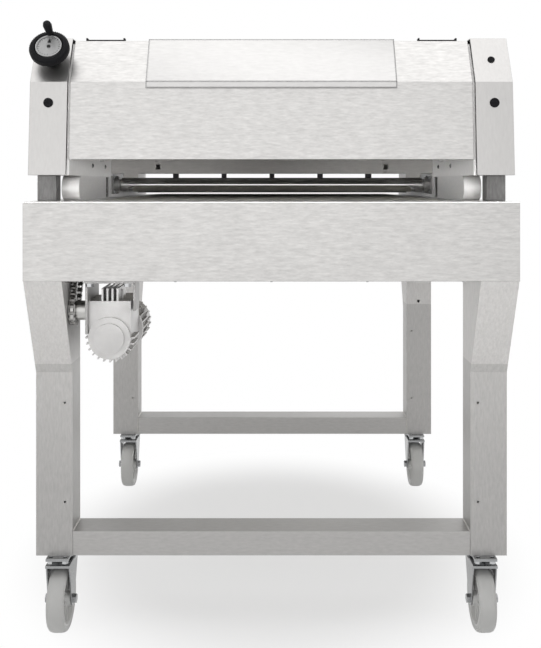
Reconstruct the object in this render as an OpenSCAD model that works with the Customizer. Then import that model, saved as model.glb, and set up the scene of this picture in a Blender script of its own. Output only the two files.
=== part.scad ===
// Free-standing dough moulder on four swivel casters.
// Millimetres. X runs to the right seen from the front, the front faces -Y, and Z is up.
// The origin lies on the floor below the middle of the frame.

/* [Overall] */
// Width over the side skirts and the side boxes
overall_w = 930; // [860:10:1060]
// Depth over the front and rear aprons
frame_d = 1140; // [1110:10:1240]
// Height of the deck above the floor
deck_h = 857; // [840:1:890]
// Thickness of the folded stainless sheet
sheet_t = 2; // [1.5:0.5:2.5]

/* [Legs] */
// Side of the square leg
leg_w = 72; // [64:1:76]
// Wall of the legs and crossbars
leg_wall = 3; // [2:0.5:4]
// Distance from the apron's face back to the lower leg's face
leg_inset = 98; // [90:1:110]
// Height of the gusset that carries the apron on the leg
gusset_h = 190; // [170:1:210]
// Step of the gusset's top behind the apron's face
gusset_step = 4; // [3:1:8]
// Height of the lower crossbars
crossbar_h = 48; // [40:1:60]
// Diameter of the accessory holes in the legs
leg_hole_d = 4.5; // [4:0.5:6]
// Height of the lower accessory hole above the floor
leg_hole_z = 262; // [240:1:280]
// Spacing of the two accessory holes up the leg
leg_hole_pitch = 196; // [180:1:210]
// Distance of the accessory holes from the leg's inner edge
leg_hole_edge = 15; // [12:1:20]
// Distance of the gusset's hole behind the gusset's top step
gusset_hole_in = 32; // [28:1:40]
// Distance of the gusset's hole below the apron's lower edge
gusset_hole_drop = 49; // [40:1:60]
// Diameter of the larger hole in the rear legs
rear_hole_d = 8; // [6:0.5:10]
// Height of that hole above the upper accessory hole
rear_hole_rise = 87; // [80:1:95]
// Sideways distance of that hole from the accessory holes
rear_hole_side = 20; // [16:1:24]

/* [Casters] */
// Height from the floor to the top of the caster plate
caster_h = 156; // [152:1:170]
// Height of the caster plate's top over the top of the wheel
wheel_under = 31; // [29:1:36]
// Width of the tread
wheel_w = 34; // [30:1:36]
// Distance of the swivel axis from the machine's side
caster_inset = 45; // [42:1:48]
// Distance of the axle ahead of the swivel axis
trail = 15; // [10:1:25]
// Diameter of the wheel axle
axle_d = 12; // [10:1:14]
// Clear width between the two fork cheeks
fork_gap = 42; // [40:1:46]
// Thickness of the pressed fork
fork_t = 3; // [2.5:0.5:4]

/* [Apron and chassis] */
// Height of the aprons and skirts
apron_h = 149; // [140:1:160]
// Depth of the hem along the foot of the aprons
hem_d = 8; // [6:1:12]
// Depth of the flange that the deck lies on
flange_d = 26; // [20:1:32]
// Width and height of the chassis rails
rail_w = 40; // [34:1:44]
// Wall of the chassis rails
rail_wall = 3; // [2.5:0.5:4]

/* [Conveyor] */
// Free width between the belt and the head plates
belt_side = 47.75; // [44:0.25:70]
// Thickness of the belt
belt_t = 2; // [1.5:0.5:2.5]
// Height of the belt's face above the deck
belt_rise = 1; // [0.5:0.5:2]
// Diameter of the belt rollers
belt_roller_d = 60; // [54:1:62]
// Distance of the front belt roller's axis from the front apron's face
belt_front = 170; // [165:1:180]
// Distance of the rear belt roller's axis from the rear apron's face
belt_rear = 70; // [60:1:90]
// Diameter of the belt rollers' shafts
belt_shaft_d = 20; // [18:1:22]
// Thickness of the conveyor cheeks
cheek_t = 6; // [5:1:8]
// Space between the belt's edge and the cheek
cheek_gap = 12; // [10:1:14]

/* [Head] */
// Width of each side box
box_w = 72; // [68:1:76]
// Gap between a side box and the front cover, filled by the head plate
plate_gap = 5.5; // [5:0.5:7]
// Running gap on each side of the head plate in that gap
plate_play = 0.25; // [0.2:0.05:0.4]
// Recess of the head plate's edge behind the covers
plate_recess = 6; // [4:1:10]
// Open height between the deck and the side boxes
gap_h = 50; // [46:1:56]
// Height of the cover's lower edge above the boxes' lower edge
cover_rise = 30; // [26:1:36]
// Distance from the apron's face back to the foot of the side box
head_setback = 36.5; // [34:0.5:42]
// How far the front leans back between its foot and the bend
front_lean = 16; // [12:1:20]
// Height of the leaning front from foot to bend
front_h = 180; // [170:1:190]
// Depth of the slanted face
slant_run = 50; // [45:1:55]
// Height of the slanted face
slant_rise = 91.6; // [86:0.2:96]
// Step of the cover's top below the boxes' top
cover_drop = 5.6; // [4:0.2:8]
// Depth position of the wall where the side boxes come down to the deck
mid_wall_y = -95; // [-110:1:-90]
// Width of the slot between that wall and the head plate
mid_slot = 6; // [4:1:8]
// Width of the corner posts
post_w = 37.6; // [34:0.2:40]
// Distance of the posts from the machine's side
post_inset = 4; // [3:0.5:8]
// Distance of the post's face behind the foot of the side box
post_back = 55; // [50:1:60]
// Width of the rounded side rails
side_rail_w = 35; // [32:1:36]
// Distance of the side rails' nose behind the foot of the side box
side_rail_back = 74; // [70:1:78]
// Diameter of the plug in the front of each side box
plug_d = 18.5; // [16:0.5:22]
// Diameter of the plug in the slant of the right side box
small_plug_d = 14; // [12:0.5:16]
// Height of the front plugs below the bend
plug_drop = 40.5; // [36:0.5:50]

/* [Hopper lid] */
// Width of the lid
lid_w = 484; // [460:2:500]
// Length of the lip that hangs below the bend
lid_lip = 12; // [8:1:16]
// Length of the lid along the top
lid_top = 276; // [260:2:290]
// Distance of the two hinges from the middle
hinge_x = 160; // [140:5:180]
// Half of the width of the lid's hinge knuckle
knuckle_hw = 18; // [14:1:22]
// Half of the width of the fixed knuckles beside it
side_knuckle_hw = 7; // [6:1:9]
// Clearance between the lid and the cover
lid_lift = 1; // [0.5:0.5:2]
// Overlap of the lid past the hopper opening at each side
lid_lap = 10; // [8:1:14]
// Width of the black grip edges
grip_w = 76.5; // [70:0.5:84]
// Distance of the grip edges' outer ends from the cover's side
grip_inset = 21; // [18:1:26]

/* [Rollers] */
// Diameter of the two laminating rollers
lam_d = 90; // [84:1:92]
// Free width between the laminating rollers' barrels and the head plates
lam_side = 52.75; // [50:0.25:80]
// Gap between the laminating rollers at rest
lam_gap = 6; // [5:0.5:8]
// Distance of the fixed laminating roller's axis behind the slant
lam_in = 150; // [146:1:156]
// Diameter of the laminating rollers' shafts
lam_shaft_d = 25; // [22:1:26]
// Travel of the movable roller that closes the gap
lam_close = 5; // [3:0.5:5]
// Travel of the movable roller that opens the gap
lam_open = 12; // [8:1:12]
// Diameter of the coiling roller
coil_d = 34; // [30:1:36]
// Length of each bearing between the coiling roller's barrel and the head plate
coil_side = 23.75; // [23:0.25:36]
// Gap between the coiling roller and the belt
coil_gap = 12; // [10:1:16]
// Diameter of the coiling roller's journals
coil_shaft_d = 16; // [14:1:18]
// Distance of the coiling roller's axis behind the mid wall
coil_back = 42; // [40:1:46]
// Number of teeth of the two roller gears
gear_teeth = 16; // [16:4:20]
// Width of the roller gears
gear_w = 18; // [14:1:20]

/* [Handwheel] */
// Diameter of the handwheel
hand_d = 76; // [70:1:78]
// Thickness of the handwheel's rim
hand_rim = 20; // [16:1:20]
// Distance of the handwheel's middle in front of the slant
hand_off = 35; // [32:1:40]
// Distance of the handwheel's axis from the machine's side
hand_inset = 39; // [39:0.5:41]
// Diameter of the dial
dial_d = 50; // [44:1:50]
// Diameter of the revolving grip
grip_d = 17; // [15:0.5:19]
// Length of the revolving grip
grip_len = 34; // [32:1:42]
// Diameter of the setting spindle
spindle_d = 14; // [12:1:15]

/* [Pressure board] */
// Height of the gap between the belt and the pressure board
board_gap = 10; // [8:1:14]
// Thickness of the pressure board
board_t = 18; // [14:1:20]
// Length of the pressure board
board_len = 400; // [360:5:420]
// Spacing of the front hangers
hanger_pitch = 118; // [110:1:124]
// Spacing of the rear hangers
rear_hanger_pitch = 139.5; // [130:0.5:142]
// Width of a hanger
hanger_w = 12; // [10:1:14]
// Height of the front beam's lower edge above the deck
beam_rise = 57; // [55:1:60]
// Height of the beams
beam_h = 60; // [52:1:66]
// Width of the two tabs under the front beam
tab_w = 36; // [30:1:40]
// Distance of the tabs' outer edge from the machine's middle
tab_out = 359; // [350:1:364]

/* [Drive] */
// Height of the output axis below the apron's lower edge
out_drop = 65; // [60:1:70]
// Distance of the output axis behind the front apron's face
out_back = 81.7; // [81:0.1:84]
// Distance between the output axis and the worm axis
worm_drop = 46; // [44:1:50]
// Width of the gearbox
gearbox_w = 80; // [76:1:82]
// Half of the gearbox's depth, before and behind the output axis
gearbox_hd = 58; // [54:1:58]
// Distance of the bracket's outer face from the machine's side
bracket_inset = 112; // [111:1:116]
// Outer diameter of the motor over its fins
motor_d = 96; // [90:1:100]
// Length of the motor housing
motor_len = 92; // [84:1:110]
// Length of the fan cowl
cowl_len = 42; // [36:1:50]
// Number of cooling fins round the motor
motor_fins = 24; // [16:4:32]
// Teeth of every chain sprocket
sprocket_teeth = 12; // [12:4:16]
// Pitch of the chain
chain_pitch = 12.7; // [12.5:0.1:12.9]
// Thickness of the sprockets
sprocket_t = 6; // [5:0.5:6.5]
// Distance of the lower chain from the machine's side
low_chain_inset = 79.5; // [78.5:0.5:80.5]
// Distance of the upper chain from the machine's side
up_chain_inset = 65; // [64:0.5:65.5]

/* [Hidden] */

eps = 0.01;
// Free gap between pieces of different bodies
free_gap = 0.3;
// Radial clearance of a shaft that turns in a bore
run_play = 0.05;

half_w = overall_w / 2;
half_d = frame_d / 2;
apron_z = deck_h - apron_h;
under_deck = deck_h - sheet_t;
leg_out = half_d - leg_inset;
leg_in = leg_out - leg_w;
leg_inner_x = half_w - leg_w;
chassis_hd = half_d - sheet_t - hem_d;
chassis_top = apron_z + rail_w;

caster_x = half_w - caster_inset;
caster_y = leg_out - leg_w / 2;
wheel_r = (caster_h - wheel_under) / 2;
caster_plate_t = 5;
race_h = 10;
crown_top = caster_h - caster_plate_t - race_h - free_gap;

head_z = deck_h + gap_h;
cover_z = head_z + cover_rise;
box_in = half_w - box_w;
cover_hw = box_in - plate_gap;
plate_in = cover_hw + plate_play;
plate_t = plate_gap - 2 * plate_play;
box_top = head_z + front_h + slant_rise;
cover_top = box_top - cover_drop;
bend = [-(half_d - head_setback - front_lean), head_z + front_h];
lean_deg = atan2(front_h, front_lean);
slant_deg = atan2(slant_rise, slant_run);
slant_tilt = 90 - slant_deg;
slant_len = norm([slant_run, slant_rise]);
slant_mid = slant_len / 2;

belt_roller_r = belt_roller_d / 2;
belt_axis_z = deck_h + belt_rise - belt_t - belt_roller_r;
belt_front_y = -half_d + belt_front;
belt_rear_y = half_d - belt_rear;
belt_hw = plate_in - belt_side;
cheek_in = belt_hw + cheek_gap;
slot_play = 10;

lam_pitch = lam_d + lam_gap;
lam_shift = lam_in + lam_pitch;
coil_end = plate_in - coil_side;
coil_y = mid_wall_y + coil_back;
coil_z = deck_h + belt_rise + coil_gap + coil_d / 2;
hand_x = -(half_w - hand_inset);

lid_hw = lid_w / 2;
hatch_hw = lid_hw - lid_lap;
hatch_low = 62;

pitch_r = chain_pitch / (2 * sin(180 / sprocket_teeth));
low_chain_x = -(half_w - low_chain_inset);
up_chain_x = -(half_w - up_chain_inset);
out_y = -half_d + out_back;
out_z = apron_z - out_drop;
worm_z = out_z - worm_drop;
bracket_x = -(half_w - bracket_inset);
bracket_t = 5;
gearbox_x = bracket_x + bracket_t;
worm_x = gearbox_x + gearbox_w / 2;

steel = [0.80, 0.79, 0.77];
mid_steel = [0.67, 0.66, 0.65];
bright_steel = [0.90, 0.90, 0.91];
cast_grey = [0.76, 0.76, 0.76];
black_plastic = [0.09, 0.09, 0.10];
pale_grey = [0.80, 0.80, 0.80];

// Right-hand normal of a direction given by its angle
function side_of(a) = [sin(a), -cos(a)];
// Shift of an outline's corner for an inset of 1
function miter(a, b) = (side_of(a) + side_of(b)) / (1 + side_of(a) * side_of(b));
// Corners of the head's outline, inset by d
function foot_y(d, z) = bend.x - (bend.y - z) * front_lean / front_h + d / sin(lean_deg);
function bend_at(d) = bend + d * miter(lean_deg, slant_deg);
function top_at(d, z) = [bend.x + (z - bend.y) * slant_run / slant_rise, z] + d * miter(slant_deg, 0);
function flip(p) = [-p.x, p.y];
// A point given in the slant's own frame: inwards, and up the slant from the bend
function on_slant_yz(inward, up) = bend
    + inward * [cos(slant_tilt), -sin(slant_tilt)]
    + up * [sin(slant_tilt), cos(slant_tilt)];

// Extrudes an outline drawn in Y and Z along X
module along_x(x0, x1) {
    translate([x0, 0, 0]) rotate([90, 0, 90]) linear_extrude(x1 - x0) children();
}

// A round bar along X
module bar_x(x0, x1, d, y = 0, z = 0, fn = 48) {
    translate([x0, y, z]) rotate([0, 90, 0]) cylinder(d = d, h = x1 - x0, $fn = fn);
}

// Places children in the slant's frame: -Y is outwards and +Z runs up the slant
module on_slant(x = 0) {
    translate([x, bend.x, bend.y]) rotate([-slant_tilt, 0, 0]) children();
}

// Places children on the leaning front at a height
module on_front(x, z) {
    translate([x, foot_y(0, z), z]) rotate([-(90 - lean_deg), 0, 0]) children();
}

module block(x0, x1, y0, y1, z0, z1) {
    translate([x0, y0, z0]) cube([x1 - x0, y1 - y0, z1 - z0]);
}

// Frame

function leg_outline(w, floor_z, top_z) = [
    [leg_in + w, floor_z],
    [leg_out - w, floor_z],
    [leg_out - w, apron_z - gusset_h + w * 0.23],
    [half_d - gusset_step - w * 1.12, top_z],
    [leg_in + w, top_z]
];

module leg(side, end) {
    base_t = 8;
    hole_x = half_w - leg_w + leg_hole_edge;
    hole_y = end < 0 ? -leg_out : leg_in;
    color(mid_steel)
    difference() {
        mirror([side < 0 ? 1 : 0, 0, 0]) mirror([0, end < 0 ? 1 : 0, 0])
        difference() {
            along_x(leg_inner_x, half_w) polygon(leg_outline(0, caster_h, apron_z));
            along_x(leg_inner_x + leg_wall, half_w - leg_wall)
                polygon(leg_outline(leg_wall, caster_h + base_t, apron_z + 1));
            translate([leg_inner_x - 1, half_d - gusset_step - gusset_hole_in, apron_z - gusset_hole_drop])
                rotate([0, 90, 0]) cylinder(d = leg_hole_d, h = leg_wall + 2, $fn = 24);
        }
        for (i = [0, 1])
            translate([side * hole_x, hole_y - 1, leg_hole_z + i * leg_hole_pitch])
                rotate([-90, 0, 0]) cylinder(d = leg_hole_d, h = leg_wall + 2, $fn = 24);
        if (end > 0)
            translate([side * (hole_x + rear_hole_side), hole_y - 1,
                leg_hole_z + leg_hole_pitch + rear_hole_rise])
                rotate([-90, 0, 0]) cylinder(d = rear_hole_d, h = leg_wall + 2, $fn = 24);
    }
}

module crossbar(end) {
    mid = end * (leg_in + leg_out) / 2;
    color(mid_steel)
    difference() {
        block(-leg_inner_x, leg_inner_x, mid - leg_w / 2, mid + leg_w / 2, caster_h, caster_h + crossbar_h);
        block(-leg_inner_x - 1, leg_inner_x + 1,
            mid - leg_w / 2 + leg_wall, mid + leg_w / 2 - leg_wall,
            caster_h + leg_wall, caster_h + crossbar_h - leg_wall);
    }
}

// Channel rails, open inwards, welded into one rectangle on the legs
module chassis_frame() {
    hx = half_w - sheet_t;
    color(mid_steel)
    difference() {
        block(-hx, hx, -chassis_hd, chassis_hd, apron_z, chassis_top);
        block(-hx + rail_w, hx - rail_w, -chassis_hd + rail_w, chassis_hd - rail_w,
            apron_z - 1, chassis_top + 1);
        block(-hx + rail_wall, hx - rail_wall, -chassis_hd + rail_wall, chassis_hd - rail_wall,
            apron_z + rail_wall, chassis_top - rail_wall);
    }
}

module apron(end) {
    color(steel)
    mirror([0, end < 0 ? 1 : 0, 0]) {
        block(-half_w, half_w, half_d - sheet_t, half_d, apron_z, under_deck);
        block(-half_w + sheet_t, half_w - sheet_t, chassis_hd, half_d - sheet_t, apron_z, apron_z + sheet_t);
        block(-half_w + sheet_t, half_w - sheet_t, half_d - sheet_t - flange_d, half_d - sheet_t,
            under_deck - sheet_t, under_deck);
    }
}

module skirt(side) {
    y1 = half_d - sheet_t;
    y2 = y1 - flange_d;
    color(steel)
    mirror([side < 0 ? 1 : 0, 0, 0]) {
        block(half_w - sheet_t, half_w, -y1, y1, apron_z, under_deck);
        block(half_w - sheet_t - flange_d, half_w - sheet_t, -y2, y2, under_deck - sheet_t, under_deck);
    }
}

module deck_plate() {
    reach = belt_roller_r + belt_t + 4;
    color(steel)
    difference() {
        block(-half_w, half_w, -half_d, half_d, under_deck, deck_h);
        block(-belt_hw - slot_play, belt_hw + slot_play, belt_front_y - reach, belt_rear_y + reach,
            under_deck - 1, deck_h + 1);
        block(up_chain_x - 8, up_chain_x + 8, belt_front_y - pitch_r - 9, coil_y + 12,
            under_deck - 1, deck_h + 1);
    }
}

// Casters

module place_caster(side, end) {
    translate([side * caster_x, end * caster_y, 0]) children();
}

// Top plate with its raised bearing cup and the king pin
module caster_head(side, end) {
    color(bright_steel)
    place_caster(side, end) {
        difference() {
            block(-22, 22, -54, 54, caster_h - caster_plate_t, caster_h);
            for (x = [-14, 14], y = [-44, 44])
                translate([x, y, caster_h - caster_plate_t - 1]) cylinder(d = 9, h = 8, $fn = 24);
        }
        translate([0, 0, caster_h - caster_plate_t - race_h])
            rotate_extrude($fn = 64) polygon([[0, 0], [20, 0], [24, 4], [24, race_h], [0, race_h]]);
        translate([0, 0, crown_top - 6]) cylinder(d = 12, h = 8, $fn = 32);
    }
}

// Pressed fork: crown plate with a bore for the king pin and two tapering cheeks
module caster_fork(side, end) {
    in_x = fork_gap / 2;
    axle_z = wheel_r;
    low = crown_top - 5;
    module cheek_outline() {
        hull() {
            translate([-trail, axle_z]) circle(d = 26, $fn = 32);
            translate([-44, low - 4]) square([70, 4]);
        }
    }
    color(bright_steel)
    place_caster(side, end) {
        difference() {
            union() {
                block(-in_x - fork_t, in_x + fork_t, -50, 36, low, crown_top);
                for (s = [-1, 1])
                    translate([s * (in_x + fork_t / 2), 0, 0])
                        along_x(-fork_t / 2, fork_t / 2) cheek_outline();
            }
            translate([0, 0, low - 1]) cylinder(d = 12 + 2 * run_play, h = 8, $fn = 32);
            translate([0, -trail, axle_z]) bar_x(-in_x - 5, in_x + 5, axle_d, fn = 32);
        }
        translate([0, -trail, axle_z]) {
            bar_x(-in_x - fork_t, in_x + fork_t, axle_d, fn = 32);
            bar_x(in_x + fork_t, in_x + fork_t + 7, 19, fn = 6);
            bar_x(-in_x - fork_t - 7, -in_x - fork_t, 19, fn = 6);
        }
    }
}

// Rounded tread on a ribbed wheel centre with a bore for the axle
module caster_wheel(side, end) {
    hw = wheel_w / 2;
    hub_hw = fork_gap / 2 - free_gap;
    tread_in = wheel_r - 12;
    bore_r = axle_d / 2 + run_play;
    color(pale_grey)
    place_caster(side, end) translate([0, -trail, wheel_r]) rotate([0, 90, 0])
    union() {
        rotate_extrude($fn = 96) polygon([
            [bore_r, -hub_hw], [14, -hub_hw], [17, -hw + 7], [tread_in - 5, -hw + 7],
            [tread_in, -hw + 1], [wheel_r - 5, -hw], [wheel_r - 1.5, -hw + 4], [wheel_r, -hw + 10],
            [wheel_r, hw - 10], [wheel_r - 1.5, hw - 4], [wheel_r - 5, hw], [tread_in, hw - 1],
            [tread_in - 5, hw - 7], [17, hw - 7], [14, hub_hw], [bore_r, hub_hw]]);
        for (i = [0:5], s = [-1, 1])
            rotate([0, 0, i * 60]) translate([29, 0, s * (hw - 6)]) cube([34, 3, 4], center = true);
    }
}

// Conveyor

bed_t = 3;
bed_z = deck_h + belt_rise - belt_t - bed_t;

// Two cheeks on the chassis, with the cross bars that carry the belt bed
module belt_frame() {
    shaft_d = belt_shaft_d + 2 * run_play;
    cheek_hd = half_d - sheet_t - flange_d;
    color(steel) {
        difference() {
            union() {
                for (s = [-1, 1])
                    translate([s * (cheek_in + cheek_t / 2), 0, 0]) block(-cheek_t / 2, cheek_t / 2,
                        -cheek_hd, cheek_hd, chassis_top, under_deck);
                for (i = [0.5:3.5])
                    translate([0, belt_front_y + i * (belt_rear_y - belt_front_y) / 4, 0])
                        block(-cheek_in, cheek_in, -12, 12, belt_axis_z - 12, bed_z);
            }
            for (y = [belt_front_y, belt_rear_y]) bar_x(-cheek_in - 20, cheek_in + 20, shaft_d, y, belt_axis_z);
        }
    }
}

// Slider plate under the carrying run
module belt_bed() {
    color(bright_steel) block(-belt_hw + 4, belt_hw - 4,
        belt_front_y + belt_roller_r + 8, belt_rear_y - belt_roller_r - 8, bed_z, bed_z + bed_t);
}

module lower_belt() {
    r = belt_roller_r + run_play;
    module loop(rad) {
        translate([belt_front_y, belt_axis_z]) circle(r = rad, $fn = 96);
        translate([belt_rear_y, belt_axis_z]) circle(r = rad, $fn = 96);
        translate([belt_front_y, belt_axis_z - rad]) square([belt_rear_y - belt_front_y, 2 * rad]);
    }
    color([0.86, 0.84, 0.78])
    along_x(-belt_hw, belt_hw) difference() {
        loop(belt_roller_r + belt_t - run_play);
        loop(r);
    }
}

tooth_deg = 360 / sprocket_teeth;

// Straight length after a centre, its heading, and the angle that the chain wraps there
function leg_length(p, i) = norm(p[(i + 1) % len(p)] - p[i]);
function heading(p, i) = let(d = p[(i + 1) % len(p)] - p[i % len(p)]) atan2(d.y, d.x);
function wrap_deg(p, i) = (heading(p, i) - heading(p, i + len(p) - 1) + 720) % 360;
function run_length(p, i = 0) = i < len(p) ? leg_length(p, i) + run_length(p, i + 1) : 0;
// Length of a link on the straights when the chain has an even number of links
function fitted_pitch(p) = let(n = 2 * round(run_length(p) / chain_pitch / 2 + sprocket_teeth / 2))
    run_length(p) / (n - sprocket_teeth);
// Links passed before a centre is reached
function links_before(p, i) = i == 0 ? 0
    : links_before(p, i - 1) + wrap_deg(p, i - 1) / tooth_deg + leg_length(p, i - 1) / fitted_pitch(p);
// Angle of the first roller that sits on a centre's sprocket
function seat_phase(p, i) = let(u = links_before(p, i))
    heading(p, i + len(p) - 1) - 90 + (ceil(u) - u) * tooth_deg;

// Disc with roller seats on the pitch circle, the first one at the phase angle, on its hub
module sprocket(hub_d, hub_len, hub_side, phase) {
    tip_r = pitch_r + 3;
    seat_r = 4.25 + 0.15;
    difference() {
        union() {
            translate([-sprocket_t / 2, 0, 0]) bar_x(0, sprocket_t, 2 * tip_r, fn = 96);
            if (hub_len > 0)
                bar_x(hub_side > 0 ? sprocket_t / 2 - 1 : -sprocket_t / 2 - hub_len,
                    hub_side > 0 ? sprocket_t / 2 + hub_len : -sprocket_t / 2 + 1, hub_d, fn = 48);
        }
        for (i = [0:sprocket_teeth - 1])
            rotate([phase + i * tooth_deg, 0, 0]) translate([0, pitch_r, 0])
                bar_x(-sprocket_t, sprocket_t, 2 * seat_r, fn = 24);
    }
}

// Crowned barrel with its shaft; the left end carries both chain sprockets
module front_belt_roller() {
    end_x = cheek_in + cheek_t + 3;
    color(bright_steel)
    translate([0, belt_front_y, belt_axis_z]) {
        bar_x(-belt_hw - 5, belt_hw + 5, belt_roller_d, fn = 96);
        bar_x(up_chain_x - 7, end_x, belt_shaft_d, fn = 48);
        translate([low_chain_x, 0, 0]) sprocket(34, 4, -1, seat_phase(low_run, 1));
        translate([up_chain_x, 0, 0]) sprocket(34, 3, 1, seat_phase(up_run, 0));
    }
}

module rear_belt_roller() {
    end_x = cheek_in + cheek_t + 3;
    color(bright_steel)
    translate([0, belt_rear_y, belt_axis_z]) {
        bar_x(-belt_hw - 5, belt_hw + 5, belt_roller_d, fn = 96);
        bar_x(-end_x, end_x, belt_shaft_d, fn = 48);
    }
}

// Head

// Half of the head's outline from the foot to the top corner, inset by d
function rise(d, z0, z1) = [[foot_y(d, z0), z0], bend_at(d), top_at(d, z1)];
function fall(d, z0, z1) = [flip(top_at(d, z1)), flip(bend_at(d)), [-foot_y(d, z0), z0]];

fixed_yz = on_slant_yz(lam_in, slant_mid);
// Centres that each chain wraps, counterclockwise seen from the right
low_run = [[out_y, out_z], [belt_front_y, belt_axis_z]];
up_run = [[belt_front_y, belt_axis_z], [coil_y, coil_z], fixed_yz];
movable_yz = on_slant_yz(lam_shift, slant_mid);

// Height of the carriage's blocks and thickness of the guide bars above and below them
carriage_h = 48;
guide_t = 10;
// Length of the guide bars, and how far behind the movable axis their middle lies
guide_len = 130;
guide_back = 30;
// Width and thickness of the flange that the middle cover lies on
seat_w = 18;
seat_t = plate_recess - sheet_t + 1;
// Where the lower part of a head plate starts, and the slot in the rail in front of it
plate_low_y = mid_wall_y - 33;
slot_w = 36;
// Space round the movable roller's shaft, over its whole travel, in the head plates
window_gap = 17.5;

// Side plate that carries the rollers and guides the carriage; its edge fills the covers' gap
module head_plate(side) {
    d = plate_recess;
    near = on_slant_yz(lam_shift - lam_close, slant_mid);
    far = on_slant_yz(lam_shift + lam_open, slant_mid);
    r = lam_shaft_d / 2 + window_gap;
    x0 = side < 0 ? -plate_in - plate_t : plate_in;
    x1 = x0 + plate_t;
    color(bright_steel)
    difference() {
        union() {
            difference() {
                along_x(x0, x1) polygon(concat(
                    rise(d, head_z, cover_top), fall(d, deck_h, cover_top),
                    [[mid_wall_y, deck_h], [mid_wall_y, head_z]]));
                block(x0 - 1, x1 + 1, near.x - r, far.x + r, far.y - r, near.y + r);
            }
            flange = side < 0 ? [-plate_in - eps, -plate_in + seat_w] : [plate_in - seat_w, plate_in + eps];
            along_x(flange[0], flange[1]) difference() {
                polygon(concat(rise(sheet_t, cover_z + 2, cover_top), fall(sheet_t, cover_z + 2, cover_top)));
                polygon(concat(rise(sheet_t + seat_t, cover_z - 1, cover_top),
                    fall(sheet_t + seat_t, cover_z - 1, cover_top)));
            }
            for (e = [-1, 1])
                on_slant() translate([side * (plate_in - guide_t / 2), lam_shift + guide_back, slant_mid])
                    translate([0, 0, e * (carriage_h / 2 + free_gap + guide_t / 2)])
                        cube([guide_t + eps, guide_len, guide_t], center = true);
        }
        bar_x(x0 - 1, x1 + 1, lam_shaft_d + 2 * run_play, fixed_yz.x, fixed_yz.y);
        bar_x(x0 - 1, x1 + 1, coil_shaft_d + 2, coil_y, coil_z);
    }
}

// Folded side box, open towards the head plate
module side_box(side) {
    t = sheet_t;
    low = [[mid_wall_y, deck_h], [mid_wall_y, head_z]];
    inner_low = [[mid_wall_y + t, deck_h - 1], [mid_wall_y + t, head_z + t]];
    color(steel)
    mirror([side < 0 ? 1 : 0, 0, 0])
    difference() {
        union() {
            difference() {
                along_x(box_in, half_w)
                    polygon(concat(rise(0, head_z, box_top), fall(0, deck_h, box_top), low));
                along_x(box_in - 1, half_w - t)
                    polygon(concat(rise(t, head_z + t, box_top), fall(t, deck_h - 1, box_top), inner_low));
            }
            if (side < 0) on_slant(-hand_x) translate([0, t / 2, slant_mid])
                rotate([-90, 0, 0]) cylinder(d = 30, h = 16, $fn = 48);
        }
        block(box_in - 1, box_in + mid_slot, mid_wall_y - 1, mid_wall_y + t + eps, deck_h - 1, head_z);
        if (side < 0) block(box_in - 1, -up_chain_x + 8, mid_wall_y - 1, mid_wall_y + t + eps,
            deck_h - 1, deck_h + 9);
        on_front(half_w - box_w / 2, bend.y - plug_drop) rotate([-90, 0, 0])
            translate([0, 0, -3]) cylinder(d = plug_d - 3, h = 10, $fn = 48);
        if (side < 0) {
            on_slant(-hand_x) translate([0, -2, slant_mid]) rotate([-90, 0, 0])
                cylinder(d = spindle_d + 2 * run_play, h = 30, $fn = 48);
            block(-up_chain_x - 8, -up_chain_x + 8, belt_front_y - pitch_r - 9, belt_front_y + 6,
                head_z - 1, head_z + t + 1);
        } else {
            on_slant(half_w - box_w / 2) translate([0, -2, slant_mid]) rotate([-90, 0, 0])
                cylinder(d = small_plug_d - 3, h = 10, $fn = 48);
        }
    }
}

// One folded sheet over the front, top and rear, with the hopper opening
module head_cover() {
    t = sheet_t;
    color(steel)
    difference() {
        along_x(-cover_hw, cover_hw)
            polygon(concat(rise(0, cover_z, cover_top), fall(0, cover_z, cover_top)));
        along_x(-cover_hw - 1, cover_hw + 1)
            polygon(concat(rise(t, cover_z - 1, cover_top), fall(t, cover_z - 1, cover_top)));
        hatch_cut(t + 1);
    }
}

hatch_rear_y = bend.x + slant_run + lid_top - lid_lap - 16;

// Opening for the dough: the upper slant and the front of the top
module hatch_cut(deep) {
    along_x(-hatch_hw, hatch_hw) polygon([
        on_slant_yz(-deep, hatch_low), top_at(-deep, cover_top), [hatch_rear_y, cover_top + deep],
        [hatch_rear_y, cover_top - deep], top_at(deep, cover_top), on_slant_yz(deep, hatch_low)]);
}

// Posts that carry the front of the side boxes
module corner_posts() {
    y0 = foot_y(0, head_z) + post_back;
    color(steel)
    for (s = [-1, 1]) mirror([s < 0 ? 1 : 0, 0, 0])
    difference() {
        block(half_w - post_inset - post_w, half_w - post_inset, y0, y0 + post_w, deck_h, head_z);
        block(half_w - post_inset - post_w + leg_wall, half_w - post_inset - leg_wall,
            y0 + leg_wall, y0 + post_w - leg_wall, deck_h - 1, head_z + 1);
    }
}

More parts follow.
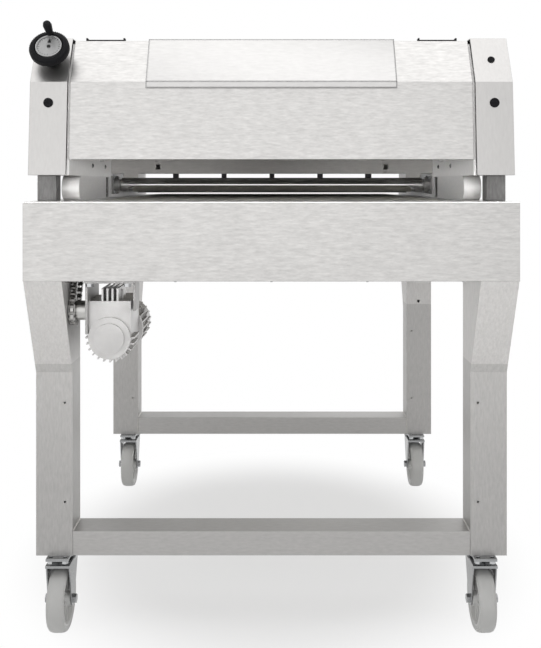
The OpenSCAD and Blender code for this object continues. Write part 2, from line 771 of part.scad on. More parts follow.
// Rounded rails beside the belt; the left one covers the upper chain
module side_rails() {
    y0 = foot_y(0, head_z) + side_rail_back;
    r = gap_h / 2;
    x1 = plate_in - 5;
    module nose(rad, extra) {
        translate([y0 + r, deck_h + r]) circle(r = rad, $fn = 64);
        translate([y0 + r, deck_h + r - rad]) square([mid_wall_y - y0 - r + extra, 2 * rad]);
    }
    color(bright_steel)
    for (s = [-1, 1]) mirror([s < 0 ? 1 : 0, 0, 0])
    difference() {
        along_x(x1, x1 + side_rail_w) nose(r, 0);
        along_x(x1 + sheet_t, x1 + side_rail_w - sheet_t) nose(r - sheet_t, 1);
        block(x1 + sheet_t, x1 + side_rail_w - sheet_t, y0 + r, mid_wall_y + 1, deck_h - 1, deck_h + r);
        block(x1 - 1, x1 + sheet_t + 1, plate_low_y - slot_w, plate_low_y, deck_h + 2, head_z - 2);
        if (s < 0) block(-up_chain_x - 8, -up_chain_x + 8, belt_front_y - pitch_r - 9,
            belt_front_y + 6, head_z - 5, head_z + 1);
    }
}

// Height of the rear beam above the front one
rear_beam_rise = 11;

// Front and rear beams between the head plates, folded as channels open at the top
module cross_beams() {
    depth = 62;
    t = 3;
    front_y = coil_y - coil_d / 2;
    front_z = deck_h + beam_rise;
    window_x = 275;
    window_w = 10;
    window_h = 12;
    window_rise = 16;
    tab_h = 10;
    module beam(y0, z0) {
        difference() {
            block(-plate_in, plate_in, y0, y0 + depth, z0, z0 + beam_h);
            block(-plate_in - 1, plate_in + 1, y0 + t, y0 + depth - t, z0 + t, z0 + beam_h + 1);
        }
    }
    color(mid_steel) {
        difference() {
            beam(front_y, front_z);
            for (s = [-1, 1]) translate([s * window_x, front_y, front_z + window_rise])
                cube([window_w, 3 * t, window_h], center = true);
        }
        for (s = [-1, 1]) translate([s * (tab_out - tab_w / 2), front_y, front_z])
            block(-tab_w / 2, tab_w / 2, 0, t, -tab_h, 1);
        beam(board_rear_y - hanger_d - 25, front_z + rear_beam_rise);
    }
}

module plug(d) {
    rotate([90, 0, 0]) cylinder(d = d, h = 1.6, $fn = 48);
    rotate([-90, 0, 0]) cylinder(d = d - 3.6, h = 7, $fn = 48);
}

module hole_plugs() {
    x = half_w - box_w / 2;
    color(black_plastic) {
        for (s = [-1, 1]) on_front(s * x, bend.y - plug_drop) plug(plug_d);
        on_slant(x) translate([0, 0, slant_mid]) plug(small_plug_d);
    }
}

// Black edge strips at the top of the slant, curled up at their ends
module grip_edges() {
    x1 = cover_hw - grip_inset;
    color(black_plastic)
    for (s = [-1, 1]) mirror([s < 0 ? 1 : 0, 0, 0])
        translate([0, top_at(0, cover_top).x, cover_top]) {
            block(x1 - grip_w, x1, 0.5, 16, 0, 2.4);
            block(x1 - 3, x1, 0.5, 16, 2, 6);
            block(x1 - grip_w, x1 - grip_w + 3, 0.5, 16, 2, 6);
        }
}

hinge_y = hatch_rear_y + 22;
hinge_r = 6;
hinge_pin_d = 6;
hinge_arm_t = 4;
leaf_t = 3;
leaf_d = 26;
side_knuckle_x = knuckle_hw + side_knuckle_hw + 1;
leaf_hw = side_knuckle_x + side_knuckle_hw + 1;
hinge_z = cover_top + lid_lift + sheet_t + hinge_r;
hinge_len = 60;

// Lid over the slant and the front of the top, with rolled hinge barrels
module hopper_lid() {
    c = -lid_lift;
    t = sheet_t;
    lip_z = bend.y - lid_lip;
    end_y = hinge_y - hinge_r - free_gap;
    color(steel) {
        along_x(-lid_hw, lid_hw) polygon([
            [foot_y(c, lip_z), lip_z], bend_at(c), top_at(c, cover_top),
            [end_y, cover_top + lid_lift], [end_y, cover_top + lid_lift + t],
            top_at(c - t, cover_top), bend_at(c - t), [foot_y(c - t, lip_z), lip_z]]);
        for (s = [-1, 1]) difference() {
            union() {
                bar_x(s * hinge_x - knuckle_hw, s * hinge_x + knuckle_hw, 2 * hinge_r, hinge_y, hinge_z, 32);
                block(s * hinge_x - knuckle_hw, s * hinge_x + knuckle_hw, end_y - 14, hinge_y - 2,
                    cover_top + lid_lift + t - eps, cover_top + lid_lift + t + hinge_arm_t);
            }
            bar_x(s * hinge_x - leaf_hw, s * hinge_x + leaf_hw, hinge_pin_d + 2 * run_play, hinge_y, hinge_z, 32);
        }
    }
}

// Fixed hinge leaves with their pins
module lid_hinge() {
    color(bright_steel)
    for (s = [-1, 1]) {
        leaf_y = hinge_y + hinge_r + 2;
        block(s * hinge_x - leaf_hw, s * hinge_x + leaf_hw, leaf_y, leaf_y + leaf_d,
            cover_top, cover_top + leaf_t);
        for (e = [-1, 1]) {
            x0 = s * hinge_x + e * side_knuckle_x - side_knuckle_hw;
            x1 = x0 + 2 * side_knuckle_hw;
            bar_x(x0, x1, 2 * hinge_r, hinge_y, hinge_z, 32);
            block(x0, x1, hinge_y, hinge_y + 2 * hinge_r, cover_top, hinge_z);
        }
        bar_x(s * hinge_x - leaf_hw, s * hinge_x + leaf_hw, hinge_pin_d, hinge_y, hinge_z, 32);
    }
}

// Funnel that leads the dough from the opening into the nip
module hopper_chute() {
    t = sheet_t;
    top = cover_top - t;
    fixed_r = lam_d / 2;
    front_low = [fixed_yz.x + 17, fixed_yz.y + fixed_r + 2];
    rear_low = [movable_yz.x + 20, movable_yz.y + fixed_r + 4];
    front_top = on_slant_yz(t, hatch_low - 3);
    color(bright_steel)
    difference() {
        along_x(-hatch_hw - t, hatch_hw + t) polygon([
            front_low, front_top, top_at(t, cover_top), [hatch_rear_y + t, top], rear_low + [t, 0]]);
        along_x(-hatch_hw, hatch_hw) polygon([
            front_low + [t + 1, -1], front_low + [t, t], on_slant_yz(t - 1, hatch_low),
            top_at(t - 1, cover_top), [hatch_rear_y, top + 1], rear_low + [0, -1]]);
    }
}

// Laminating rollers

lam_end = plate_in - lam_side;
gear_x = plate_in + plate_t + 8;
// Bars behind the rollers that carry their scrapers
tie_back = lam_d / 2 + 20;
scraper_bar_d = 16;
tie_bar_d = 22;
scraper_gap = 0.5;
blade_t = 3;

module at_yz(p) {
    translate([0, p.x, p.y]) children();
}

// Driven roller, fixed in the head plates, with its chain sprocket on the left
module fixed_roller() {
    color([0.93, 0.93, 0.90]) at_yz(fixed_yz) {
        bar_x(-lam_end, lam_end, lam_d, fn = 96);
        bar_x(up_chain_x - 7, gear_x + gear_w + 4, lam_shaft_d, fn = 48);
        translate([up_chain_x, 0, 0]) sprocket(36, 3, 1, seat_phase(up_run, 2));
    }
}

module movable_roller() {
    color([0.93, 0.93, 0.90]) at_yz(movable_yz) {
        bar_x(-lam_end, lam_end, lam_d, fn = 96);
        bar_x(-lam_end - 34, gear_x + gear_w + 4, lam_shaft_d, fn = 48);
    }
}

// Long-toothed gear that stays in mesh while the roller gap changes
module roller_gear(phase) {
    root_r = lam_pitch / 2 - 12;
    tip_r = lam_pitch / 2 + 6;
    root_w = 7.8;
    tip_w = 2.8;
    difference() {
        union() {
            bar_x(gear_x, gear_x + gear_w, 2 * root_r, fn = 96);
            for (i = [0:gear_teeth - 1])
                rotate([(i + phase) * 360 / gear_teeth, 0, 0]) along_x(gear_x, gear_x + gear_w) polygon([
                    [root_r - 1, -root_w / 2], [tip_r, -tip_w / 2], [tip_r, tip_w / 2], [root_r - 1, root_w / 2]]);
        }
        bar_x(gear_x - 1, gear_x + gear_w + 1, lam_shaft_d + 0.02, fn = 48);
    }
}

// A tooth of the fixed gear points along the line between the axes, into a gap of the other
module fixed_roller_gear() {
    color(mid_steel) at_yz(fixed_yz) rotate([-slant_tilt, 0, 0]) roller_gear(0);
}

module movable_roller_gear() {
    color(mid_steel) at_yz(movable_yz) rotate([-slant_tilt, 0, 0]) roller_gear(0.5);
}

// Bearing blocks, tie bar with its scraper, and the nut lug on the setting spindle
module roller_carriage() {
    x0 = lam_end + 8;
    x1 = plate_in - 2;
    bar_back = tie_back;
    lug_x = -hand_x + spindle_d / 2 + 5;
    shaft = lam_shaft_d + 2 * run_play;
    lug_hh = spindle_d / 2 + 5;
    lug_front = 12;
    lug_back = 16;
    color(mid_steel)
    on_slant() translate([0, lam_shift, slant_mid]) difference() {
        union() {
            for (s = [-1, 1]) mirror([s < 0 ? 1 : 0, 0, 0])
                block(x0, x1, -24, bar_back + 12, -carriage_h / 2, carriage_h / 2);
            bar_x(-x0 - 1, x0 + 1, tie_bar_d, bar_back, 0);
            block(-lam_end, lam_end, lam_d / 2 + scraper_gap, bar_back - scraper_bar_d / 2,
                -blade_t / 2, blade_t / 2);
            block(-lug_x, -x1 + 1, -lug_front, lug_back, -lug_hh, lug_hh);
        }
        bar_x(-x1 + 4, x1 + 1, shaft);
        translate([hand_x, -lug_front - 1, 0]) rotate([-90, 0, 0])
            cylinder(d = spindle_d + 2 * run_play, h = lug_front + lug_back + 2, $fn = 48);
    }
}

// Scraper of the fixed roller, on a bar between the head plates
module scraper_blade() {
    back = tie_back;
    color(bright_steel)
    on_slant() translate([0, lam_in, slant_mid]) {
        bar_x(-plate_in, plate_in, scraper_bar_d, -back, 0);
        block(-lam_end, lam_end, -back + scraper_bar_d / 4, -lam_d / 2 - scraper_gap,
            -blade_t / 2, blade_t / 2);
    }
}

// Handwheel

// Rim, web, stem and setting spindle, turned as one
module handwheel() {
    r = hand_d / 2;
    rim = hand_rim / 2;
    stem_top = hand_off - rim;
    web_r = dial_d / 2 + 0.5;
    color(black_plastic)
    on_slant(hand_x) translate([0, 0, slant_mid]) rotate([90, 0, 0]) {
        difference() {
            rotate_extrude($fn = 96) polygon([
                [0, free_gap], [9, free_gap], [9, stem_top - 6], [14, stem_top], [web_r, stem_top + 2],
                [r - 8, stem_top], [r - 3, stem_top + 1.5], [r - 0.5, stem_top + 5], [r, hand_off],
                [r - 0.5, hand_off + rim - 5], [r - 3, hand_off + rim - 1.5], [r - 8, hand_off + rim],
                [web_r + 2, hand_off + rim], [web_r, hand_off + rim - 4], [0, hand_off + rim - 4]]);
            translate([0, r - 9, hand_off + rim - 8]) cylinder(d = 6, h = 12, $fn = 32);
        }
        translate([0, 0, -lam_shift - lam_open - 20])
            cylinder(d = spindle_d, h = lam_shift + lam_open + 21, $fn = 48);
    }
}

// Face of the gap indicator with its raised rim
module dial_face() {
    z0 = hand_off + hand_rim / 2 - 4;
    color(bright_steel)
    on_slant(hand_x) translate([0, 0, slant_mid]) rotate([90, 0, 0])
        rotate_extrude($fn = 96) polygon([[0, z0], [dial_d / 2, z0], [dial_d / 2, z0 + 4],
            [dial_d / 2 - 2.5, z0 + 4], [dial_d / 2 - 3, z0 + 2], [0, z0 + 2]]);
}

// Grip that turns on its own pin in the rim
module crank_grip() {
    z0 = hand_off + hand_rim / 2;
    color(black_plastic)
    on_slant(hand_x) translate([0, 0, slant_mid]) rotate([90, 0, 0])
        translate([0, hand_d / 2 - 9, z0]) {
            rotate_extrude($fn = 48) polygon([[0, free_gap], [grip_d / 2 - 3, free_gap], [grip_d / 2 - 1.5, 8],
                [grip_d / 2, grip_len - 9], [grip_d / 2 - 1.5, grip_len - 2.5], [grip_d / 2 - 4, grip_len],
                [0, grip_len]]);
            translate([0, 0, -7.5]) cylinder(d = 6 - 2 * run_play, h = 9, $fn = 32);
        }
}

// Coiling roller and pressure board

module coiling_roller() {
    color(bright_steel) translate([0, coil_y, coil_z]) {
        bar_x(-coil_end, coil_end, coil_d, fn = 96);
        bar_x(up_chain_x - 7, plate_in - 2, coil_shaft_d, fn = 48);
        translate([up_chain_x, 0, 0]) sprocket(coil_shaft_d + 10, 3, 1, seat_phase(up_run, 1));
    }
}

// Flanged bearings of the coiling roller on the head plates
module coil_bearings() {
    x0 = coil_end + 1;
    house_r = coil_shaft_d / 2 + 11;
    flange_hw = house_r + 7;
    flange_hh = house_r + 3;
    step = coil_side / 5;
    color(mid_steel)
    for (s = [-1, 1]) mirror([s < 0 ? 1 : 0, 0, 0]) difference() {
        union() {
            bar_x(x0 + step, plate_in, 2 * house_r, coil_y, coil_z);
            block(plate_in - 6, plate_in, coil_y - flange_hw, coil_y + flange_hw,
                coil_z - flange_hh, coil_z + flange_hh);
            bar_x(x0, x0 + step + 1, 2 * (house_r - 5), coil_y, coil_z);
        }
        bar_x(x0 - 2, plate_in + 1, coil_shaft_d + 2 * run_play, coil_y, coil_z);
    }
}

hanger_d = 12;
board_front_y = coil_y + coil_d / 2 + 4;
board_rear_y = board_front_y + board_len;
board_z = deck_h + belt_rise + board_gap;

// Board with a turned-up front edge, hung from the beams on flat hangers
module pressure_board() {
    color(mid_steel) {
        block(-belt_hw + 10, belt_hw - 10, board_front_y, board_rear_y, board_z, board_z + board_t);
        for (i = [-2:2]) {
            translate([i * hanger_pitch, board_front_y + 6, 0]) hanger(deck_h + beam_rise);
            translate([i * rear_hanger_pitch, board_rear_y - 6 - hanger_d, 0])
                hanger(deck_h + beam_rise + rear_beam_rise);
        }
    }
}

module hanger(top) {
    block(-hanger_w / 2, hanger_w / 2, 0, hanger_d, board_z + board_t - 1, top);
}

// Drive

// Folded plate under the front rail that carries the gearbox
module gearmotor_bracket() {
    y0 = -chassis_hd;
    low = apron_z - bracket_t;
    color(steel) difference() {
        union() {
            block(bracket_x, gearbox_x + gearbox_w + 8, y0, out_y + gearbox_hd - 3, low, apron_z);
            block(bracket_x, gearbox_x, out_y - gearbox_hd, out_y + gearbox_hd - 3, out_z - 38, low + 1);
            block(gearbox_x + gearbox_w + 3, gearbox_x + gearbox_w + 8, out_y - 40, out_y + 10, out_z + 4, low + 1);
        }
        bar_x(bracket_x - 1, gearbox_x + 1, 44, out_y, out_z);
    }
}

// Cast worm gearbox: upper case with fins, round worm housing with ribs below
module gearbox() {
    front = out_y - gearbox_hd;
    back = out_y + gearbox_hd;
    x1 = gearbox_x + gearbox_w;
    fin_z = out_z + 24;
    fin_h = 24;
    fin_pitch = gearbox_w * 0.12;
    fin_w = 3.6;
    rib_start = 3 * gearbox_w / 8;
    color(cast_grey) difference() {
        union() {
            block(gearbox_x, x1, front + 10, back - 4, worm_z, fin_z);
            translate([worm_x, front + 4, worm_z]) rotate([-90, 0, 0]) {
                cylinder(d = gearbox_w, h = back - front - 4, $fn = 96);
                translate([0, 0, -4]) cylinder(d = gearbox_w * 0.71, h = 8, $fn = 96);
            }
            for (i = [-1.5:1:1.5])
                block(worm_x + i * fin_pitch - fin_w / 2, worm_x + i * fin_pitch + fin_w / 2,
                    front + 12, back - 18, fin_z - 1, fin_z + fin_h);
            block(worm_x - 2 * fin_pitch, worm_x + 2 * fin_pitch, out_y - 8, out_y - 2, fin_z - 1, fin_z + 18);
            for (i = [-motor_fins / 4:motor_fins / 4])
                translate([worm_x, front + 12, worm_z]) rotate([0, 90 + i * 360 / motor_fins, 0])
                    block(rib_start, motor_d / 2 - 1, -1.5, gearbox_hd + 2, -1.5, 1.5);
        }
        bar_x(gearbox_x - 1, gearbox_x + 30, belt_shaft_d + 2 * run_play, out_y, out_z);
    }
}

// Finned motor housing with its terminal box
module motor_body() {
    y0 = out_y + gearbox_hd;
    core_d = motor_d - 18;
    box_hw = 26;
    box_y = y0 + 22;
    box_rise = 16;
    color(cast_grey) {
        translate([worm_x, y0, worm_z]) rotate([-90, 0, 0]) {
            cylinder(d = motor_d, h = 9, $fn = 96);
            cylinder(d = core_d, h = motor_len, $fn = 96);
            for (i = [0:motor_fins - 1])
                rotate([0, 0, i * 360 / motor_fins])
                    block(core_d / 2 - 1, motor_d / 2, -1.3, 1.3, 8, motor_len - 4);
        }
        block(worm_x - box_hw, worm_x + box_hw, box_y, box_y + 2 * box_hw,
            worm_z + core_d / 2 - 2, worm_z + motor_d / 2 + box_rise);
    }
}

// Cowl over the fan, with ribs along its side and slots in its end
module fan_cowl() {
    y0 = out_y + gearbox_hd + motor_len;
    color(cast_grey)
    translate([worm_x, y0, worm_z]) rotate([-90, 0, 0]) difference() {
        union() {
            cylinder(d = motor_d - 6, h = cowl_len, $fn = 96);
            for (i = [0:motor_fins - 1])
                rotate([0, 0, (i + 0.5) * 360 / motor_fins])
                    block(motor_d / 2 - 5, motor_d / 2, -1.5, 1.5, 0, cowl_len - 6);
        }
        for (i = [0:7])
            rotate([0, 0, i * 45]) block(14, 36, -3, 3, cowl_len - 3, cowl_len + 1);
    }
}

module output_sprocket() {
    gap = bracket_x - low_chain_x - sprocket_t / 2 - 2;
    color(bright_steel) translate([0, out_y, out_z]) {
        translate([low_chain_x, 0, 0]) sprocket(38, gap, 1, seat_phase(low_run, 0));
        bar_x(low_chain_x, gearbox_x + 29, belt_shaft_d, fn = 48);
    }
}

// Chains

// Outline round equal circles on the centres, off the pitch line by a distance
module chain_loop(points, off) {
    hull() for (p = points) translate(p) circle(r = pitch_r + off, $fn = 96);
}

// Two bands of side plates that run beside the sprocket
module chain(x, points) {
    plate = 1.3;
    inner = sprocket_t / 2 + 0.4;
    for (s = [-1, 1])
        along_x(x + s * (inner + plate / 2) - plate / 2, x + s * (inner + plate / 2) + plate / 2)
            difference() {
                chain_loop(points, 4.5);
                chain_loop(points, -4.5);
            }
}

module drive_chains() {
    color(mid_steel) {
        chain(low_chain_x, low_run);
        chain(up_chain_x, up_run);
    }
}

leg(-1, -1);  // leg_front_left
leg(1, -1);  // leg_front_right
leg(-1, 1);  // leg_rear_left
leg(1, 1);  // leg_rear_right
crossbar(-1);  // crossbar_front
crossbar(1);  // crossbar_rear
chassis_frame();
caster_head(-1, -1);  // caster_head_front_left
caster_head(1, -1);  // caster_head_front_right
caster_head(-1, 1);  // caster_head_rear_left
caster_head(1, 1);  // caster_head_rear_right
caster_fork(-1, -1);  // caster_fork_front_left
caster_fork(1, -1);  // caster_fork_front_right
caster_fork(-1, 1);  // caster_fork_rear_left
caster_fork(1, 1);  // caster_fork_rear_right
caster_wheel(-1, -1);  // caster_wheel_front_left
caster_wheel(1, -1);  // caster_wheel_front_right
caster_wheel(-1, 1);  // caster_wheel_rear_left
caster_wheel(1, 1);  // caster_wheel_rear_right
apron(-1);  // apron_front
apron(1);  // apron_rear
skirt(-1);  // skirt_left
skirt(1);  // skirt_right
deck_plate();
belt_frame();
belt_bed();
lower_belt();
front_belt_roller();
rear_belt_roller();
head_plate(-1);  // head_plate_left
head_plate(1);  // head_plate_right
side_box(-1);  // side_box_left
side_box(1);  // side_box_right
head_cover();
corner_posts();
side_rails();
cross_beams();
hole_plugs();
grip_edges();
hopper_lid();
lid_hinge();
hopper_chute();
fixed_roller();
movable_roller();
fixed_roller_gear();
movable_roller_gear();
roller_carriage();
scraper_blade();
handwheel();
dial_face();
crank_grip();
coiling_roller();
coil_bearings();
pressure_board();
gearmotor_bracket();
gearbox();
motor_body();
fan_cowl();
output_sprocket();
drive_chains();
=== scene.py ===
# Dresses the CAD nodes of the dough moulder: finishes, small hardware, chains, floor, lamps
# and camera. Metres, in the frame of the CAD; X to the right, the front faces -Y, Z is up.

import math

import bmesh
import bpy
from mathutils import Matrix, Vector


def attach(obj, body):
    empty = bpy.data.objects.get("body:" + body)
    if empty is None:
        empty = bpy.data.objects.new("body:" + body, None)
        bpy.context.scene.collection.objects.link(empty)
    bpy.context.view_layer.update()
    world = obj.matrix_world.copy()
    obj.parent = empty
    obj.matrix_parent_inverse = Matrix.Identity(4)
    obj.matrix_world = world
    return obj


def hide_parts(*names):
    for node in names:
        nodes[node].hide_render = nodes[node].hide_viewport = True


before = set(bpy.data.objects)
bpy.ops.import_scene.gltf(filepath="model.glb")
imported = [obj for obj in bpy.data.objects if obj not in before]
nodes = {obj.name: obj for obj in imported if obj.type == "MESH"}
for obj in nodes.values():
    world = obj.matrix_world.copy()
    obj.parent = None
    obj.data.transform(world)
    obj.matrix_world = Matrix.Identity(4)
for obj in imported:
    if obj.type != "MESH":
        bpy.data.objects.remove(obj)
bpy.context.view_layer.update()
scene = bpy.context.scene


def linked_object(name, data):
    """A new object in the scene."""
    made = bpy.data.objects.new(name, data)
    scene.collection.objects.link(made)
    return made


def evaluated_mesh(item):
    """A plain mesh of an object as its modifiers leave it."""
    bpy.context.view_layer.update()
    graph = bpy.context.evaluated_depsgraph_get()
    return bpy.data.meshes.new_from_object(item.evaluated_get(graph))


# Shader building


def wire(tree, kind, inputs=None, **settings):
    """Adds a node, sets its properties, and links or sets its inputs."""
    node = tree.nodes.new(kind)
    for name, value in settings.items():
        setattr(node, name, value)
    for name, value in (inputs or {}).items():
        socket = node.inputs[name]
        if isinstance(value, bpy.types.NodeSocket):
            tree.links.new(value, socket)
        else:
            socket.default_value = value
    return node


def math_node(tree, operation, a, b=0.0, clamp=False):
    """The result of a Math node."""
    return wire(
        tree, "ShaderNodeMath", {0: a, 1: b}, operation=operation, use_clamp=clamp).outputs[0]


def shader_group(name, inputs, outputs):
    """An empty shader group with its sockets, and its input and output nodes."""
    group = bpy.data.node_groups.new(name, "ShaderNodeTree")
    for label, kind, value in inputs:
        socket = group.interface.new_socket(label, in_out="INPUT", socket_type=kind)
        if value is not None:
            socket.default_value = value
    for label, kind in outputs:
        group.interface.new_socket(label, in_out="OUTPUT", socket_type=kind)
    return group, group.nodes.new("NodeGroupInput"), group.nodes.new("NodeGroupOutput")


def mix_colour(tree, factor, a, b):
    """Mixes two colours and returns the result's socket."""
    return wire(tree, "ShaderNodeMix", {0: factor, 6: a, 7: b}, data_type="RGBA").outputs[2]


def noise(tree, vector, scale, detail, roughness=0.5, distortion=0.0):
    """A noise texture's level, about 0.5 in the middle."""
    return wire(tree, "ShaderNodeTexNoise", {
        "Vector": vector, "Scale": scale, "Detail": detail, "Roughness": roughness,
        "Distortion": distortion}).outputs["Fac"]


def ramp(tree, value, low, high, start=0.0, stop=1.0, **settings):
    """Maps low to start and high to stop, and holds them outside."""
    return wire(tree, "ShaderNodeMapRange", {
        "Value": value, "From Min": low, "From Max": high, "To Min": start, "To Max": stop},
        **settings).outputs[0]


def object_place(tree):
    """The Object coordinates of the point that is shaded."""
    return wire(tree, "ShaderNodeTexCoord").outputs["Object"]


def set_relief(tree, shader, height, strength, distance):
    """Bumps the surface by a height between 0 and 1, times a distance in metres."""
    relief = wire(tree, "ShaderNodeBump", {"Height": height, "Strength": strength,
                                           "Distance": distance})
    tree.links.new(relief.outputs[0], shader.inputs["Normal"])


def rgb(value):
    """A colour from a grey level or a triple of linear values."""
    if isinstance(value, (int, float)):
        value = (value, value, value)
    return (*value, 1.0)


# Level of the scratches in the middle, with the default lines and streaks
MEAN_SCRATCH = 0.4


def make_brushed_grain():
    """Fine scratches along one direction, with a slow change of tone across the sheet."""
    group, inp, out = shader_group(
        "brushed_grain",
        [("Coordinates", "NodeSocketVector", None), ("Fine Lines", "NodeSocketFloat", 0.5),
         ("Wide Streaks", "NodeSocketFloat", 0.3), ("Tone Change", "NodeSocketFloat", 0.06)],
        [("Tone", "NodeSocketFloat"), ("Scratches", "NodeSocketFloat")],
    )
    along = inp.outputs["Coordinates"]
    fine = noise(group, along, 620.0, 3.0, 0.6)
    streaks = noise(group, along, 290.0, 2.0)
    slow = noise(group, along, 250.0, 3.0, 0.6)
    lines = math_node(group, "MULTIPLY", fine, inp.outputs["Fine Lines"])
    wide = math_node(group, "MULTIPLY", streaks, inp.outputs["Wide Streaks"])
    scratches = math_node(group, "ADD", lines, wide)
    middle = math_node(group, "SUBTRACT", slow, 0.5)
    drift = math_node(group, "MULTIPLY", middle, inp.outputs["Tone Change"])
    centred = math_node(group, "SUBTRACT", scratches, MEAN_SCRATCH)
    fleck = math_node(group, "MULTIPLY", centred, inp.outputs["Tone Change"])
    tone = math_node(group, "ADD", math_node(group, "ADD", drift, fleck), 1.0)
    group.links.new(tone, out.inputs["Tone"])
    group.links.new(scratches, out.inputs["Scratches"])
    return group


def make_edge_wear_and_shade():
    """A mask that is 1 on outer edges, broken up by noise; a dark edge colour on it paints shade
    lines.
    """
    group, inp, out = shader_group(
        "edge_wear_and_shade",
        [("Width", "NodeSocketFloat", 0.001), ("Amount", "NodeSocketFloat", 1.0),
         ("Break Up", "NodeSocketFloat", 60.0), ("Least", "NodeSocketFloat", 0.0)],
        [("Mask", "NodeSocketFloat")],
    )
    bevel = wire(group, "ShaderNodeBevel", {"Radius": inp.outputs["Width"]}, samples=4)
    flat = wire(group, "ShaderNodeNewGeometry")
    facing = wire(group, "ShaderNodeVectorMath", {0: bevel.outputs[0], 1: flat.outputs["Normal"]},
                  operation="DOT_PRODUCT")
    turned = math_node(group, "SUBTRACT", 1.0, facing.outputs["Value"])
    sharp = math_node(group, "MULTIPLY", turned, 6.0, clamp=True)
    patches = noise(group, object_place(group), inp.outputs["Break Up"], 3.0)
    broken = ramp(group, patches, 0.38, 0.62)
    kept = math_node(group, "MAXIMUM", broken, inp.outputs["Least"])
    mask = math_node(group, "MULTIPLY", sharp, kept)
    group.links.new(
        math_node(group, "MULTIPLY", mask, inp.outputs["Amount"], clamp=True), out.inputs["Mask"])
    return group


def make_handled_surface():
    """Soft smudges and fine dust that lies on faces that look up."""
    group, inp, out = shader_group(
        "handled_surface",
        [("Smudge Scale", "NodeSocketFloat", 14.0), ("Smudges", "NodeSocketFloat", 0.08),
         ("Dust", "NodeSocketFloat", 0.1)],
        [("Roughness Change", "NodeSocketFloat"), ("Dust Mask", "NodeSocketFloat")],
    )
    place = object_place(group)
    patches = noise(group, place, inp.outputs["Smudge Scale"], 4.0, distortion=0.6)
    centred = math_node(group, "SUBTRACT", patches, 0.5)
    group.links.new(math_node(group, "MULTIPLY", centred, inp.outputs["Smudges"]),
                    out.inputs["Roughness Change"])
    geometry = wire(group, "ShaderNodeNewGeometry")
    height = wire(group, "ShaderNodeSeparateXYZ", {0: geometry.outputs["Normal"]})
    up = ramp(group, height.outputs["Z"], 0.55, 1.0)
    grains = ramp(group, noise(group, place, 260.0, 2.0), 0.45, 0.7)
    dust = math_node(group, "MULTIPLY", up, grains)
    group.links.new(
        math_node(group, "MULTIPLY", dust, inp.outputs["Dust"]), out.inputs["Dust Mask"])
    return group


brushed_grain = make_brushed_grain()
edge_wear_and_shade = make_edge_wear_and_shade()
handled_surface = make_handled_surface()


def start_material(name):
    """A material with only a Principled shader and its output."""
    made = bpy.data.materials.new(name)
    made.use_nodes = True
    tree = made.node_tree
    tree.nodes.clear()
    shader = tree.nodes.new("ShaderNodeBsdfPrincipled")
    output = tree.nodes.new("ShaderNodeOutputMaterial")
    tree.links.new(shader.outputs[0], output.inputs["Surface"])
    return made, tree, shader


def place_group(tree, group, inputs):
    """Adds a shader group as a node, with its inputs."""
    return wire(tree, "ShaderNodeGroup", inputs, node_tree=group)


def brushed_steel(name, colour, roughness, stretch, lines=0.5, streaks=0.3, tone=0.30,
                  bump=0.25, wear_and_shade_amount=0.25, wear_and_shade_tone=0.9, edge=0.0012, least=0.0, dust=0.0, metallic=1.0,
                  upper=(2.0, 1.0)):
    """Steel brushed along the axis with the smallest scale in stretch.

    Above the height upper[0] its tone is multiplied by upper[1]: a painted sheen that lightens the
    part there.
    """
    made, tree, shader = start_material(name)
    place = object_place(tree)
    mapping = wire(tree, "ShaderNodeMapping", {"Vector": place, "Scale": stretch})
    grain = place_group(tree, brushed_grain, {
        "Coordinates": mapping.outputs[0], "Fine Lines": lines, "Wide Streaks": streaks,
        "Tone Change": tone})
    edges = place_group(tree, edge_wear_and_shade, {"Width": edge, "Amount": wear_and_shade_amount, "Break Up": 45.0,
                                          "Least": least})
    surface = place_group(
        tree, handled_surface, {"Smudge Scale": 9.0, "Smudges": 0.10, "Dust": dust})
    # Painted sheen: the tone is raised above a height, in place of a brighter reflection
    height = wire(tree, "ShaderNodeSeparateXYZ", {0: place}).outputs["Z"]
    level = ramp(tree, height, upper[0] - 0.001, upper[0], 1.0, upper[1])
    tone_here = math_node(tree, "MULTIPLY", grain.outputs["Tone"], level)
    toned = wire(
        tree, "ShaderNodeVectorMath", {0: rgb(colour)[:3], "Scale": tone_here}, operation="SCALE")
    # Edges take the edge tone: pale for real wear, dark for painted shade lines along folds and
    # edges
    bright = mix_colour(tree, edges.outputs["Mask"], toned.outputs[0], rgb(wear_and_shade_tone))
    dusty = mix_colour(tree, surface.outputs["Dust Mask"], bright, rgb((0.80, 0.78, 0.74)))
    tree.links.new(dusty, shader.inputs["Base Color"])
    rough = math_node(tree, "ADD", surface.outputs["Roughness Change"], roughness)
    depth = math_node(tree, "SUBTRACT", grain.outputs["Scratches"], MEAN_SCRATCH)
    lined = math_node(tree, "MULTIPLY", depth, 0.12)
    tree.links.new(math_node(tree, "ADD", rough, lined, clamp=True), shader.inputs["Roughness"])
    set_relief(tree, shader, grain.outputs["Scratches"], bump, 0.0002)
    shader.inputs["Metallic"].default_value = metallic
    return made


